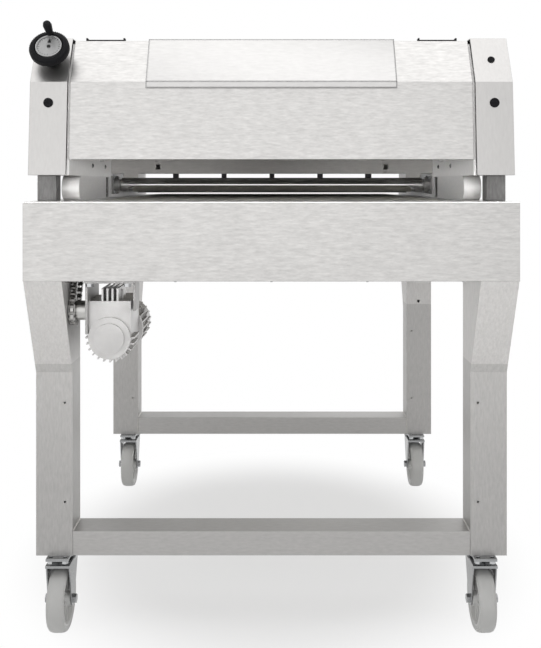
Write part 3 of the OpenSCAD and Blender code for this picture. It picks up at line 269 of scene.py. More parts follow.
def moulded(name, colour, roughness, grain_scale=900.0, bump=0.15, wear_and_shade_tone=None, wear_and_shade_amount=0.3, dust=0.05,
            change=0.08, specular=0.5, metallic=0.0):
    """Moulded plastic, rubber, cast or painted metal with a fine pebbled skin."""
    made, tree, shader = start_material(name)
    place = object_place(tree)
    pebbles = wire(tree, "ShaderNodeTexVoronoi", {"Vector": place, "Scale": grain_scale})
    clouds = noise(tree, place, 22.0, 3.0)
    edges = place_group(tree, edge_wear_and_shade, {"Width": 0.0009, "Amount": wear_and_shade_amount, "Break Up": 80.0})
    surface = place_group(
        tree, handled_surface, {"Smudge Scale": 18.0, "Smudges": 0.16, "Dust": dust})
    level = ramp(tree, clouds, 0.3, 0.7, 1.0 - change, 1.0 + change)
    toned = wire(tree, "ShaderNodeVectorMath", {0: rgb(colour)[:3], "Scale": level},
                 operation="SCALE")
    lighter = wear_and_shade_tone if wear_and_shade_tone is not None else tuple(min(1.0, c * 1.8 + 0.03) for c in rgb(colour)[:3])
    bright = mix_colour(tree, edges.outputs["Mask"], toned.outputs[0], rgb(lighter))
    dusty = mix_colour(tree, surface.outputs["Dust Mask"], bright, rgb((0.62, 0.60, 0.56)))
    tree.links.new(dusty, shader.inputs["Base Color"])
    tree.links.new(
        math_node(tree, "ADD", surface.outputs["Roughness Change"], roughness, clamp=True),
        shader.inputs["Roughness"])
    set_relief(tree, shader, pebbles.outputs["Distance"], bump, 0.0003)
    shader.inputs["Specular IOR Level"].default_value = specular
    shader.inputs["Metallic"].default_value = metallic
    return made


# Finishes

# Scales of the grain's coordinates: the scratches run along the axis with the small one
ALONG_X = (0.2, 1.0, 1.0)
ALONG_Y = (1.0, 0.2, 1.0)
ALONG_Z = (1.0, 1.0, 0.2)
ALL_WAYS = (1.0, 1.0, 1.0)

# The front, the cover and the side boxes have dark edges: painted shade lines along their folds and
# edges
steel_front = brushed_steel(
    "sheet_steel_brushed_across", (0.555, 0.546, 0.536), 0.36, ALONG_X, tone=0.5, wear_and_shade_tone=0.22,
    wear_and_shade_amount=0.8, edge=0.0018, least=0.8)
steel_cover = brushed_steel(
    "cover_steel_brushed_across", (0.563, 0.554, 0.544), 0.36, ALONG_X, tone=0.5, wear_and_shade_tone=0.22,
    wear_and_shade_amount=2.5, edge=0.0018, least=0.8)
steel_side = brushed_steel("sheet_steel_brushed_lengthwise", (0.54, 0.531, 0.521), 0.36, ALONG_Y)
# The lid's dark edges are a painted shadow gap round its rim
steel_lid = brushed_steel(
    "lid_steel_brushed_across", (0.57, 0.562, 0.555), 0.34, ALONG_X, tone=0.2, wear_and_shade_tone=0.10, wear_and_shade_amount=8.0,
    edge=0.0045, least=1.0)
steel_box = brushed_steel(
    "side_box_steel_brushed_upright", (0.53, 0.521, 0.512), 0.35, ALONG_Z, tone=0.15, wear_and_shade_tone=0.22,
    wear_and_shade_amount=0.8, edge=0.0018, least=0.8)
steel_deck = brushed_steel(
    "deck_steel_brushed_across", (0.90, 0.89, 0.88), 0.30, ALONG_X, dust=0.1, metallic=0.1)
# The legs' flared tops above 0.537 m are 1.25 times lighter: a painted sheen, standing in for their
# brighter reflection and for light that the apron shades off them
steel_tube = brushed_steel(
    "tube_steel_brushed_upright", (0.44, 0.432, 0.424), 0.44, ALONG_Z, tone=0.4, metallic=0.5,
    upper=(0.537, 1.25))
steel_bar = brushed_steel(
    "tube_steel_brushed_across", (0.46, 0.452, 0.444), 0.44, ALONG_X, tone=0.3, metallic=0.5)
# The posts' steel is made far darker than the rest: painted shade, for posts that stand back under
# the side boxes
steel_post = brushed_steel(
    "post_steel_brushed_upright", (0.20, 0.197, 0.194), 0.46, ALONG_Z, tone=0.8, metallic=0.8)
steel_inner = brushed_steel(
    "inner_steel_dull", (0.62, 0.61, 0.60), 0.50, ALONG_X, wear_and_shade_amount=0.1, metallic=0.4)
steel_plate = brushed_steel(
    "head_plate_steel", (0.82, 0.81, 0.80), 0.46, ALONG_Z, tone=0.2, metallic=0.2)
# The cross beams get a lighter steel than their shaded place would show: painted light, in place of
# light that hardly reaches inside the machine
steel_beam = brushed_steel(
    "beam_steel_dark", (0.53, 0.515, 0.50), 0.50, ALONG_X, wear_and_shade_amount=0.12, metallic=0.1)
steel_bracket = brushed_steel(
    "bracket_steel_dull", (0.36, 0.355, 0.35), 0.42, ALONG_Z, tone=0.3, metallic=0.7)
polished = brushed_steel(
    "roller_steel_polished", (0.86, 0.86, 0.86), 0.20, ALL_WAYS, lines=0.2, streaks=0.1, tone=0.05,
    bump=0.04, wear_and_shade_amount=0.1)
# The side rails get a lighter steel than the outside sheets: painted light, in place of light that
# hardly reaches inside the machine
rail_steel = brushed_steel(
    "rail_steel_satin", (0.75, 0.74, 0.73), 0.42, ALONG_Y, lines=0.4, tone=0.15, metallic=0.3)
roller_steel = brushed_steel(
    "coiling_roller_steel", (0.95, 0.95, 0.945), 0.12, ALL_WAYS, lines=0.2, streaks=0.1, tone=0.05,
    bump=0.02, wear_and_shade_amount=0.1)
zinc = brushed_steel(
    "zinc_plated_steel", (0.52, 0.527, 0.535), 0.26, ALL_WAYS, lines=0.25, streaks=0.2, tone=0.15,
    bump=0.10, wear_and_shade_amount=0.3, wear_and_shade_tone=0.85)
caster_steel = brushed_steel(
    "caster_pressed_steel", (0.34, 0.345, 0.35), 0.28, ALL_WAYS, lines=0.25, streaks=0.2, tone=0.2,
    bump=0.12, wear_and_shade_amount=0.5, wear_and_shade_tone=0.75)
chain_steel = brushed_steel(
    "oiled_chain_steel", (0.30, 0.295, 0.285), 0.30, ALL_WAYS, lines=0.3, tone=0.3, bump=0.12,
    wear_and_shade_amount=0.5, wear_and_shade_tone=0.7)
gear_steel = brushed_steel(
    "machined_gear_steel", (0.52, 0.515, 0.50), 0.30, ALL_WAYS, lines=0.35, tone=0.2, bump=0.15,
    wear_and_shade_amount=0.4, wear_and_shade_tone=0.8)
dial_silver = brushed_steel(
    "dial_satin_silver", (0.31, 0.31, 0.31), 0.42, ALL_WAYS, lines=0.25, tone=0.3, bump=0.08,
    wear_and_shade_amount=0.2, metallic=0.6)
cast = moulded(
    "cast_aluminium_painted", (0.51, 0.503, 0.497), 0.34, 420.0, 0.30, wear_and_shade_tone=0.85, wear_and_shade_amount=0.7,
    dust=0.2, change=0.12, metallic=0.8)
black_moulded = moulded(
    "black_moulded_plastic", (0.006, 0.006, 0.007), 0.50, 1100.0, 0.20, wear_and_shade_amount=0.15, dust=0.02,
    specular=0.10)
black_ribbed = moulded(
    "black_soft_grip", (0.008, 0.008, 0.009), 0.55, 1500.0, 0.35, wear_and_shade_amount=0.20, dust=0.03,
    specular=0.12)
roller_white = moulded(
    "roller_white_plastic", (0.78, 0.78, 0.75), 0.30, 700.0, 0.05, wear_and_shade_amount=0.1, dust=0.15,
    change=0.03)
board_dark = moulded(
    "pressure_board_dark_plastic", (0.030, 0.030, 0.031), 0.36, 800.0, 0.08, wear_and_shade_amount=0.2, dust=0.06,
    change=0.15, specular=0.3)
wheel_tread = moulded(
    "wheel_tread_grey_rubber", (0.62, 0.62, 0.61), 0.50, 600.0, 0.20, wear_and_shade_tone=0.45, wear_and_shade_amount=0.3,
    dust=0.2, change=0.05)
wheel_centre = moulded(
    "wheel_centre_pale_plastic", (0.70, 0.70, 0.69), 0.38, 900.0, 0.10, wear_and_shade_tone=0.6, wear_and_shade_amount=0.2,
    dust=0.1, change=0.03)
mark_black = moulded(
    "mark_black_paint", (0.010, 0.010, 0.010), 0.50, 1500.0, 0.05, wear_and_shade_amount=0.1, dust=0.0,
    specular=0.2)
weld_steel = brushed_steel(
    "weld_bead_steel", (0.44, 0.43, 0.41), 0.38, ALL_WAYS, lines=0.5, streaks=0.6, tone=0.5,
    bump=0.5, wear_and_shade_amount=0.2)


def make_belt_cloth():
    """A plain weave of threads a little under a millimetre wide, with flour worked into it."""
    made, tree, shader = start_material("belt_woven_cloth")
    place = object_place(tree)
    thread = {"Vector": place, "Scale": 380.0, "Distortion": 0.4, "Detail": 1.0}
    warp, weft = [wire(tree, "ShaderNodeTexWave", thread, bands_direction=direction).outputs["Fac"]
                  for direction in ("X", "Y")]
    weave = math_node(tree, "MULTIPLY", warp, weft)
    clouds = noise(tree, place, 7.0, 5.0)
    surface = place_group(
        tree, handled_surface, {"Smudge Scale": 6.0, "Smudges": 0.12, "Dust": 0.4})
    threads = mix_colour(tree, weave, rgb((0.60, 0.57, 0.49)), rgb((0.76, 0.73, 0.65)))
    cloudy = mix_colour(tree, clouds, threads, rgb((0.82, 0.80, 0.74)))
    floured = mix_colour(tree, surface.outputs["Dust Mask"], cloudy, rgb((0.90, 0.89, 0.86)))
    tree.links.new(floured, shader.inputs["Base Color"])
    tree.links.new(math_node(tree, "ADD", surface.outputs["Roughness Change"], 0.78, clamp=True),
                   shader.inputs["Roughness"])
    set_relief(tree, shader, weave, 0.5, 0.0003)
    return made


belt_cloth = make_belt_cloth()

# Name of each caster, and the side of the machine that it is on in X and Y
CORNERS = [(f"{end}_{side}", x_side, y_side) for end, y_side in (("front", -1), ("rear", 1))
           for side, x_side in (("left", -1), ("right", 1))]
FINISH = {}
for finish, names in (
        (steel_tube, "leg_front_left leg_front_right leg_rear_left leg_rear_right"),
        (steel_bar, "crossbar_front crossbar_rear"),
        (steel_inner, "chassis_frame belt_frame belt_bed"),
        (steel_front, "apron_front apron_rear"),
        (steel_side, "skirt_left skirt_right"),
        (steel_deck, "deck_plate"),
        (belt_cloth, "lower_belt"),
        (zinc, "front_belt_roller rear_belt_roller lid_hinge roller_carriage scraper_blade"),
        (steel_plate, "head_plate_left head_plate_right"),
        (steel_box, "side_box_left side_box_right"),
        (steel_cover, "head_cover"),
        (steel_post, "corner_posts"),
        (rail_steel, "side_rails"),
        (steel_beam, "cross_beams"),
        (black_moulded, "hole_plugs grip_edges handwheel"),
        (black_ribbed, "crank_grip"),
        (steel_lid, "hopper_lid"),
        (polished, "hopper_chute"),
        (roller_white, "fixed_roller movable_roller"),
        (gear_steel, "fixed_roller_gear movable_roller_gear output_sprocket"),
        (dial_silver, "dial_face"),
        (roller_steel, "coiling_roller"),
        (cast, "coil_bearings gearbox motor_body fan_cowl"),
        (board_dark, "pressure_board"),
        (steel_bracket, "gearmotor_bracket"),
        (chain_steel, "drive_chains")):
    FINISH.update(dict.fromkeys(names.split(), finish))
for corner, _, _ in CORNERS:
    for kind, finish in (("head", caster_steel), ("fork", caster_steel), ("wheel", wheel_centre)):
        FINISH[f"caster_{kind}_{corner}"] = finish

# Folded sheet and square tube have rounded corners, castings soft ones
CORNER_RADIUS = {"leg": 0.003, "crossbar": 0.003, "corner": 0.003, "apron": 0.0008, "skirt": 0.0008,
                 "deck": 0.0006, "side_box": 0.0008, "head_cover": 0.0008, "hopper_lid": 0.0007,
                 "gearbox": 0.0012, "motor": 0.0010, "pressure": 0.0030, "cross_beams": 0.0010,
                 "gearmotor": 0.0010, "grip": 0.0008, "caster_fork": 0.0008, "caster_head": 0.0006}


def finish_node(name):
    """Gives a CAD node its material and rounds its corners."""
    node = nodes[name]
    for slot in node.material_slots:
        slot.material = FINISH[name]
    radius = next((r for start, r in CORNER_RADIUS.items() if name.startswith(start)), None)
    if radius is None:
        return
    weld = node.modifiers.new("join", "WELD")
    weld.merge_threshold = 0.00001
    merge = node.modifiers.new("flat", "DECIMATE")
    merge.decimate_type = "DISSOLVE"
    merge.angle_limit = math.radians(1.0)
    bevel = node.modifiers.new("corner", "BEVEL")
    bevel.width = radius
    bevel.segments = 3 if radius > 0.0015 else 2
    bevel.limit_method = "ANGLE"
    bevel.angle_limit = math.radians(40.0)
    bevel.harden_normals = True


for name in sorted(nodes):
    finish_node(name)


# Geometry Nodes

# Faces that meet at more than this are shaded with a sharp edge
SHARP_ANGLE = math.radians(35.0)


def geometry_tree(name, inputs):
    """An empty geometry tree with named inputs, and its input and output nodes."""
    tree = bpy.data.node_groups.new(name, "GeometryNodeTree")
    tree.is_modifier = True
    tree.interface.new_socket("Geometry", in_out="INPUT", socket_type="NodeSocketGeometry")
    for label, kind, value in inputs:
        socket = tree.interface.new_socket(label, in_out="INPUT", socket_type=kind)
        if value is not None:
            socket.default_value = value
    tree.interface.new_socket("Geometry", in_out="OUTPUT", socket_type="NodeSocketGeometry")
    return tree, tree.nodes.new("NodeGroupInput"), tree.nodes.new("NodeGroupOutput")


def close_tree(tree, inp, out, instances):
    """Ends a tree in Realize Instances and Set Material."""
    real = wire(tree, "GeometryNodeRealizeInstances", {"Geometry": instances})
    painted = wire(tree, "GeometryNodeSetMaterial", {"Geometry": real.outputs[0],
                                                     "Material": inp.outputs["Finish"]})
    tree.links.new(painted.outputs[0], out.inputs[0])


def copies(tree, part, points, rotation, **more):
    """Instances of the object in a socket, on points."""
    source = wire(tree, "GeometryNodeObjectInfo", {"Object": part, "As Instance": True})
    return wire(tree, "GeometryNodeInstanceOnPoints", {
        "Points": points, "Instance": source.outputs["Geometry"], "Rotation": rotation,
        **more}).outputs[0]


def turn_about_z(tree, angle):
    """A rotation about Z by an angle in radians."""
    about = wire(tree, "ShaderNodeCombineXYZ", {"Z": angle})
    return wire(tree, "FunctionNodeEulerToRotation", {0: about.outputs[0]}).outputs[0]


def make_place_tree():
    """A part at every vertex; the vertices' axis and spin give its direction and turn."""
    tree, inp, out = geometry_tree("parts_at_points", [
        ("Part", "NodeSocketObject", None), ("Size", "NodeSocketFloat", 1.0),
        ("Finish", "NodeSocketMaterial", None)])
    axis = wire(tree, "GeometryNodeInputNamedAttribute", {"Name": "axis"}, data_type="FLOAT_VECTOR")
    spin = wire(tree, "GeometryNodeInputNamedAttribute", {"Name": "spin"}, data_type="FLOAT")
    aim = wire(tree, "FunctionNodeAlignRotationToVector", {"Vector": axis.outputs[0]}, axis="Z")
    both = wire(tree, "FunctionNodeRotateRotation", {
        "Rotation": aim.outputs[0], "Rotate By": turn_about_z(tree, spin.outputs[0])},
        rotation_space="LOCAL")
    placed = copies(tree, inp.outputs["Part"], inp.outputs[0], both.outputs[0],
                    Scale=inp.outputs["Size"])
    close_tree(tree, inp, out, placed)
    return tree


def make_ring_tree():
    """A part repeated evenly round the Z axis."""
    tree, inp, out = geometry_tree("parts_round_axis", [
        ("Part", "NodeSocketObject", None), ("Count", "NodeSocketInt", 12),
        ("Radius", "NodeSocketFloat", 0.01), ("Finish", "NodeSocketMaterial", None)])
    ring = wire(tree, "GeometryNodeMeshCircle", {"Vertices": inp.outputs["Count"],
                                                 "Radius": inp.outputs["Radius"]})
    index = wire(tree, "GeometryNodeInputIndex")
    share = math_node(tree, "DIVIDE", index.outputs[0], inp.outputs["Count"])
    angle = math_node(tree, "MULTIPLY", share, 2 * math.pi)
    placed = copies(tree, inp.outputs["Part"], ring.outputs[0], turn_about_z(tree, angle))
    close_tree(tree, inp, out, placed)
    return tree


place_tree = make_place_tree()
ring_tree = make_ring_tree()


def run_tree(name, tree, settings, source=None):
    """Evaluates a geometry tree on a mesh and returns the plain mesh that it makes."""
    carrier = linked_object(name + "_carrier", source or bpy.data.meshes.new(name + "_points"))
    modifier = carrier.modifiers.new("tree", "NODES")
    modifier.node_group = tree
    for item in tree.interface.items_tree:
        if item.item_type == "SOCKET" and item.in_out == "INPUT" and item.name in settings:
            modifier[item.identifier] = settings[item.name]
    made = evaluated_mesh(carrier)
    carrier.modifiers.clear()
    bpy.data.objects.remove(carrier)
    return made


def add_piece(name, mesh, body, place=None):
    """Links a mesh as a piece that rides on a body, with its place in its vertices."""
    if place is not None:
        mesh.transform(place)
        if place.determinant() < 0:
            mesh.flip_normals()
    mesh.name = name
    piece = linked_object(name, mesh)
    mesh.shade_smooth()
    mesh.set_sharp_from_angle(angle=SHARP_ANGLE)
    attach(piece, body)
    return piece


def paint(mesh, finish):
    """Gives a mesh one material and returns it."""
    mesh.materials.clear()
    mesh.materials.append(finish)
    return mesh


# Shapes for parts; lathes and prisms are drawn in metres


def close_mesh(name, b):
    """A mesh from a bmesh, with its faces turned outward."""
    mesh = bpy.data.meshes.new(name)
    bmesh.ops.recalc_face_normals(b, faces=b.faces)
    b.to_mesh(mesh)
    b.free()
    return mesh


def polygon_points(count, radius):
    """Points spaced evenly round a circle."""
    turns = [2 * math.pi * i / count for i in range(count)]
    return [(radius * math.cos(turn), radius * math.sin(turn)) for turn in turns]


def lathe(name, profile, steps=32):
    """A closed profile of (radius, height) pairs turned about Z."""
    b = bmesh.new()
    rings = []
    for radius, height in profile:
        if radius < 1e-7:
            rings.append([b.verts.new((0.0, 0.0, height))])
        else:
            rings.append([b.verts.new((x, y, height)) for x, y in polygon_points(steps, radius)])
    for low, high in zip(rings, rings[1:]):
        for i in range(steps):
            j = (i + 1) % steps
            corners = [
                low[i % len(low)], low[j % len(low)], high[j % len(high)], high[i % len(high)]]
            face = list(dict.fromkeys(corners))
            if len(face) > 2:
                b.faces.new(face)
    return close_mesh(name, b)


def closed_lathe(name, profile, steps, finish):
    """A ring: the profile's last point joins its first."""
    b = bmesh.new()
    rings = [[b.verts.new((x, y, height)) for x, y in polygon_points(steps, radius)]
             for radius, height in profile]
    for n, low in enumerate(rings):
        high = rings[(n + 1) % len(rings)]
        for i in range(steps):
            j = (i + 1) % steps
            b.faces.new((low[i], low[j], high[j], high[i]))
    return paint(close_mesh(name, b), finish)


def prism(name, outline, low, high):
    """A closed outline of (x, y) pairs, raised along Z."""
    b = bmesh.new()
    floor = [b.verts.new((x, y, low)) for x, y in outline]
    roof = [b.verts.new((x, y, high)) for x, y in outline]
    b.faces.new(list(reversed(floor)))
    b.faces.new(roof)
    for i in range(len(outline)):
        j = (i + 1) % len(outline)
        b.faces.new((floor[i], floor[j], roof[j], roof[i]))
    return close_mesh(name, b)


def join_meshes(name, meshes, finish=None):
    """Several meshes as one; each may come with a matrix."""
    joined = bpy.data.meshes.new(name)
    b = bmesh.new()
    for item in meshes:
        mesh, place = item if isinstance(item, tuple) else (item, Matrix.Identity(4))
        part = mesh.copy()
        part.transform(place)
        b.from_mesh(part)
        bpy.data.meshes.remove(part)
    b.to_mesh(joined)
    b.free()
    return paint(joined, finish) if finish else joined


def cut_socket(mesh, tool):
    """Takes the tool's mesh out of another, by way of a Boolean modifier."""
    body, knife = linked_object("cut_body", mesh), linked_object("cut_tool", tool)
    cut = body.modifiers.new("cut", "BOOLEAN")
    cut.object = knife
    cut.solver = "EXACT"
    made = evaluated_mesh(body)
    for item in (body, knife):
        bpy.data.objects.remove(item)
    return made


def make_socket_screw(name, head, height, key):
    """A button-head screw with a hexagonal socket, seated at Z 0."""
    r = head / 2
    dome = [(0, -0.0006), (r, -0.0006), (r, 0.12 * height), (0.92 * r, 0.45 * height),
            (0.72 * r, 0.80 * height), (0.45 * r, height), (0, height)]
    return cut_socket(lathe(name, dome, 28),
                      prism(name + "_key", polygon_points(6, key / 2), 0.35 * height, 2 * height))


def make_hex_bolt(name, across, height, washer):
    """A hexagon head on a washer, with a chamfered top, seated at Z 0."""
    r = across / math.sqrt(3)
    ring = lathe(
        name + "_washer", [(0, -0.0006), (washer / 2, -0.0006), (washer / 2, 0.0014), (0, 0.0014)],
        28)
    head = prism(name + "_head", polygon_points(6, r), 0.0013, height)
    cone = lathe(name + "_cone", [
        (0, height - 0.0004), (0.80 * r, height - 0.0004), (0.74 * r, height + 0.0003),
        (0, height + 0.0003)], 24)
    return join_meshes(name, [ring, head, cone])


def make_drop(name, width, height):
    """A low rounded drop, seated at Z 0."""
    r = width / 2
    return lathe(name, [(0, -0.0005), (r, -0.0005), (0.96 * r, 0.35 * height),
                        (0.75 * r, 0.75 * height), (0.4 * r, 0.96 * height), (0, height)], 20)


PARTS = {}


def keep_part(name, mesh):
    """A part kept out of sight that the trees repeat."""
    PARTS[name] = bpy.data.objects.new("part_" + name, mesh)


keep_part("screw_m5", make_socket_screw("screw_m5_mesh", 0.0095, 0.0028, 0.0036))
keep_part("screw_m4", make_socket_screw("screw_m4_mesh", 0.0076, 0.0022, 0.0029))
keep_part("bolt_m8", make_hex_bolt("bolt_m8_mesh", 0.013, 0.0068, 0.017))
keep_part("bolt_m6", make_hex_bolt("bolt_m6_mesh", 0.010, 0.0054, 0.0125))
keep_part("weld_drop", make_drop("weld_drop_mesh", 0.0052, 0.0014))


def scatter(name, part, places, body, finish, size=1.0):
    """The same part at every place: (point, axis) or (point, axis, spin) in the shared frame."""
    points = bpy.data.meshes.new(name + "_places")
    points.from_pydata([p[0] for p in places], [], [])
    points.attributes.new("axis", "FLOAT_VECTOR", "POINT")
    points.attributes.new("spin", "FLOAT", "POINT")
    for i, place in enumerate(places):
        points.attributes["axis"].data[i].vector = place[1]
        points.attributes["spin"].data[i].value = place[2] if len(place) > 2 else 0.6 * i
    made = run_tree(name, place_tree, {"Part": PARTS[part], "Size": size, "Finish": finish}, points)
    return add_piece(name, made, body)


def ring_mesh(name, part_mesh, count, radius, finish):
    """A mesh repeated round the Z axis at a radius."""
    part = bpy.data.objects.new(name + "_part", part_mesh)
    made = run_tree(
        name, ring_tree, {"Part": part, "Count": count, "Radius": radius, "Finish": finish})
    bpy.data.objects.remove(part)
    return made


SIDES = (-1, 1)
RIGHT = Vector((1, 0, 0))
UP = Vector((0, 0, 1))
DOWN = Vector((0, 0, -1))


# Places taken over from the source; pairs are (y, z)

SLANT_RUN, SLANT_RISE = 0.050, 0.0916
BEND = (-0.5175, 1.087)
SLANT = math.atan2(SLANT_RUN, SLANT_RISE)
SLANT_MID = 0.5 * math.hypot(SLANT_RUN, SLANT_RISE)
HAND_X = -0.426
PITCH = 0.0127
TEETH = 12
PITCH_R = 0.0245344  # PITCH / (2 sin(180 degrees / TEETH))
FRONT_ROLLER = (-0.400, 0.826)
FIXED_ROLLER = (-0.360838, 1.060932)
COILING_ROLLER = (-0.053, 0.887)
OUTPUT = (-0.4883, 0.643)  # the gearbox's slow shaft
LOW_CHAIN_X = -0.3855
UP_CHAIN_X = -0.400
WORM = (-0.308, 0.597)  # the motor's axis, here (x, z)
CASTER_X, CASTER_Y = 0.420, 0.436  # swivel axes
TRAIL = 0.015  # axle ahead of the swivel axis
WHEEL_R = 0.0625
PLATE_UNDER = 0.151  # underside of the caster plates
COVER_TOP = 1.173
PLATE_IN = 0.38775  # inner faces of the head plates
DECK = 0.857
APRON_Z = 0.708  # underside of the aprons


def slant_frame(x):
    """Z points out of the slanted face, Y up along it, from halfway up the slant."""
    return (Matrix.Translation((x, *BEND)) @ Matrix.Rotation(-SLANT, 4, "X")
            @ Matrix.Translation((0, 0, SLANT_MID)) @ Matrix.Rotation(math.radians(90), 4, "X"))


def across_frame(x, yz):
    """Z points along the machine's X, X along its Y and Y along its Z."""
    return Matrix(((0, 0, 1, x), (1, 0, 0, yz[0]), (0, 1, 0, yz[1]), (0, 0, 0, 1)))


# Casters

# Half widths of the hub, the web and the tread, and the radius that the tread sits on
HUB_HALF = 0.0207
WEB_HALF = 0.0040
TREAD_HALF = 0.017
TREAD_BORE = 0.0505


def two_sided(half, middle):
    """A profile's lower half, its point halfway up, and the half mirrored above it."""
    return half + [(middle, 0.0)] + [(radius, -height) for radius, height in reversed(half)]


def make_tread():
    """A crowned tread with rounded shoulders and a shallow groove in its bore."""
    half = [(TREAD_BORE, -TREAD_HALF + 0.001), (WHEEL_R - 0.0050, -TREAD_HALF),
            (WHEEL_R - 0.0022, -TREAD_HALF + 0.0022), (WHEEL_R - 0.0007, -TREAD_HALF + 0.0058),
            (WHEEL_R, -TREAD_HALF + 0.0105)]
    groove = (TREAD_BORE - 0.002, 0.0)
    return closed_lathe("tread", two_sided(half, WHEEL_R) + [groove], 96, wheel_tread)


def make_wheel_centre():
    """Rim, web and hub as one ring, with eight ribs on each side."""
    half = [(0.00605, -HUB_HALF), (0.0120, -HUB_HALF), (0.0140, -0.0195), (0.0146, -0.0130),
            (0.0180, -0.0045), (0.0420, -WEB_HALF), (0.0455, -0.0120), (0.0475, -0.0158),
            (0.0506, -0.0160)]
    disc = closed_lathe("wheel_disc", two_sided(half, 0.0490), 64, wheel_centre)
    rib_outline = [(-0.0168, -0.0014), (0.0168, -0.0010), (0.0168, 0.0010), (-0.0168, 0.0014)]
    ribs = []
    for low, high in ((0.0038, 0.0125), (-0.0125, -0.0038)):
        rib = prism("wheel_rib", rib_outline, low, high)
        ribs.append(ring_mesh("wheel_ribs", rib, 8, 0.030, wheel_centre))
    return join_meshes("wheel_centre", [disc, *ribs], wheel_centre)


centre_mesh = make_wheel_centre()
tread_mesh = make_tread()
plate_bolts = []
for corner, x_side, y_side in CORNERS:
    x, y = x_side * CASTER_X, y_side * CASTER_Y
    place = across_frame(x, (y - TRAIL, WHEEL_R))
    for part, mesh in (("centre", centre_mesh), ("tread", tread_mesh)):
        piece = add_piece(f"wheel_{part}_{corner}", mesh.copy(), "wheel_" + corner,
                          place)
        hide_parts("caster_wheel_" + corner)
    ring = closed_lathe("race_cover", [(0.0190, 0.1352), (0.0262, 0.1352), (0.0268, 0.1362),
                                       (0.0268, 0.1398), (0.0258, 0.1406), (0.0190, 0.1406)],
                        48, zinc)
    add_piece("race_cover_" + corner, ring, "fork_" + corner,
              Matrix.Translation((x, y, 0)))
    plate_bolts += [((x + dx, y + dy, PLATE_UNDER), DOWN)
                    for dx in (-0.014, 0.014) for dy in (-0.044, 0.044)]
scatter("caster_plate_bolts", "bolt_m8", plate_bolts, "root", zinc, 0.92)


# Handwheel

rib = prism("rim_rib", [(-0.0010, -0.0014), (0.0003, -0.0010), (0.0005, 0.0), (0.0003, 0.0010),
                        (-0.0010, 0.0014)], 0.0300, 0.0405)
ribs = ring_mesh("handwheel_ribs", rib, 56, 0.0378, black_ribbed)
add_piece("handwheel_rim_ribs", ribs, "handwheel", slant_frame(HAND_X))

# Height of the dial's face above the slant
DIAL_FACE = 0.0429


def make_dial_marks():
    """Twenty-four strokes round the dial, every sixth one long, a pointer and the hub."""
    count, outer = 24, 0.0215
    strokes = []
    for i in range(count):
        inner = 0.0175 if i % 6 == 0 else 0.0195
        stroke = prism("stroke", [(outer, -0.00035), (outer, 0.00035), (inner, 0.00035),
                                  (inner, -0.00035)], DIAL_FACE, DIAL_FACE + 0.00035)
        strokes.append((stroke, Matrix.Rotation(2 * math.pi * i / count, 4, "Z")))
    pointer = prism("pointer", [(-0.0035, 0.010), (-0.0007, 0.0165), (0.0007, 0.0165),
                                (0.0035, 0.010), (0.0022, 0.0085), (-0.0022, 0.0085)],
                    DIAL_FACE, DIAL_FACE + 0.0005)
    hub = lathe("dial_hub", [(0, DIAL_FACE), (0.0034, DIAL_FACE), (0.0034, DIAL_FACE + 0.0012),
                             (0.0028, DIAL_FACE + 0.0017), (0, DIAL_FACE + 0.0017)], 24)
    return join_meshes("dial_marks", [*strokes, pointer, hub], mark_black)


add_piece("dial_marks", make_dial_marks(), "handwheel", slant_frame(HAND_X))
collar = closed_lathe("spindle_collar", [(0.0092, 0.0004), (0.0150, 0.0004), (0.0150, 0.0030),
                                         (0.0142, 0.0040), (0.0092, 0.0040)], 40, black_moulded)
add_piece("spindle_collar", collar, "handwheel", slant_frame(HAND_X))


# Chains


def make_chain_tree():
    """Outer and inner links in turn on the edges of a closed path."""
    tree, inp, out = geometry_tree("links_on_path", [
        ("Outer Link", "NodeSocketObject", None), ("Inner Link", "NodeSocketObject", None),
        ("Finish", "NodeSocketMaterial", None)])
    ends = wire(tree, "GeometryNodeInputMeshEdgeVertices")
    along = wire(
        tree, "ShaderNodeVectorMath",
        {0: ends.outputs["Position 2"], 1: ends.outputs["Position 1"]}, operation="SUBTRACT")
    keep = tree.nodes.new("GeometryNodeCaptureAttribute")
    keep.domain = "EDGE"
    keep.capture_items.new("VECTOR", "Direction")
    tree.links.new(inp.outputs[0], keep.inputs[0])
    tree.links.new(along.outputs[0], keep.inputs[1])
    middles = wire(tree, "GeometryNodeMeshToPoints", {"Mesh": keep.outputs[0]}, mode="EDGES")
    aim = wire(
        tree, "FunctionNodeAlignRotationToVector", {"Vector": keep.outputs[1]}, axis="X",
        pivot_axis="Z")
    index = wire(tree, "GeometryNodeInputIndex")
    odd = math_node(tree, "MODULO", index.outputs[0], 2.0)
    outer = wire(tree, "FunctionNodeCompare", {"A": odd, "B": 0.5}, operation="LESS_THAN")
    inner = wire(tree, "FunctionNodeBooleanMath", {0: outer.outputs[0]}, operation="NOT")
    join = wire(tree, "GeometryNodeJoinGeometry")
    for label, choice in (("Outer Link", outer), ("Inner Link", inner)):
        links = copies(tree, inp.outputs[label], middles.outputs[0], aim.outputs[0],
                       Selection=choice.outputs[0])
        tree.links.new(links, join.inputs[0])
    close_tree(tree, inp, out, join.outputs[0])
    return tree


def link_plate(name, low, high):
    """A waisted side plate round two pins a pitch apart, raised along Z."""
    half, round_r, waist = PITCH / 2, 0.0056, 0.0040
    end = [(half + round_r * math.cos(math.radians(turn)), round_r * math.sin(math.radians(turn)))
           for turn in range(-60, 61, 30)]
    other_end = [(-x, y) for x, y in reversed(end)]
    return prism(name, [*end, (0.0, waist), *other_end, (0.0, -waist)], low, high)


def round_pin(name, radius, half_length, steps):
    """A cylinder centred on the origin, along Z."""
    return lathe(name, [(0, -half_length), (radius, -half_length), (radius, half_length),
                        (0, half_length)], steps)


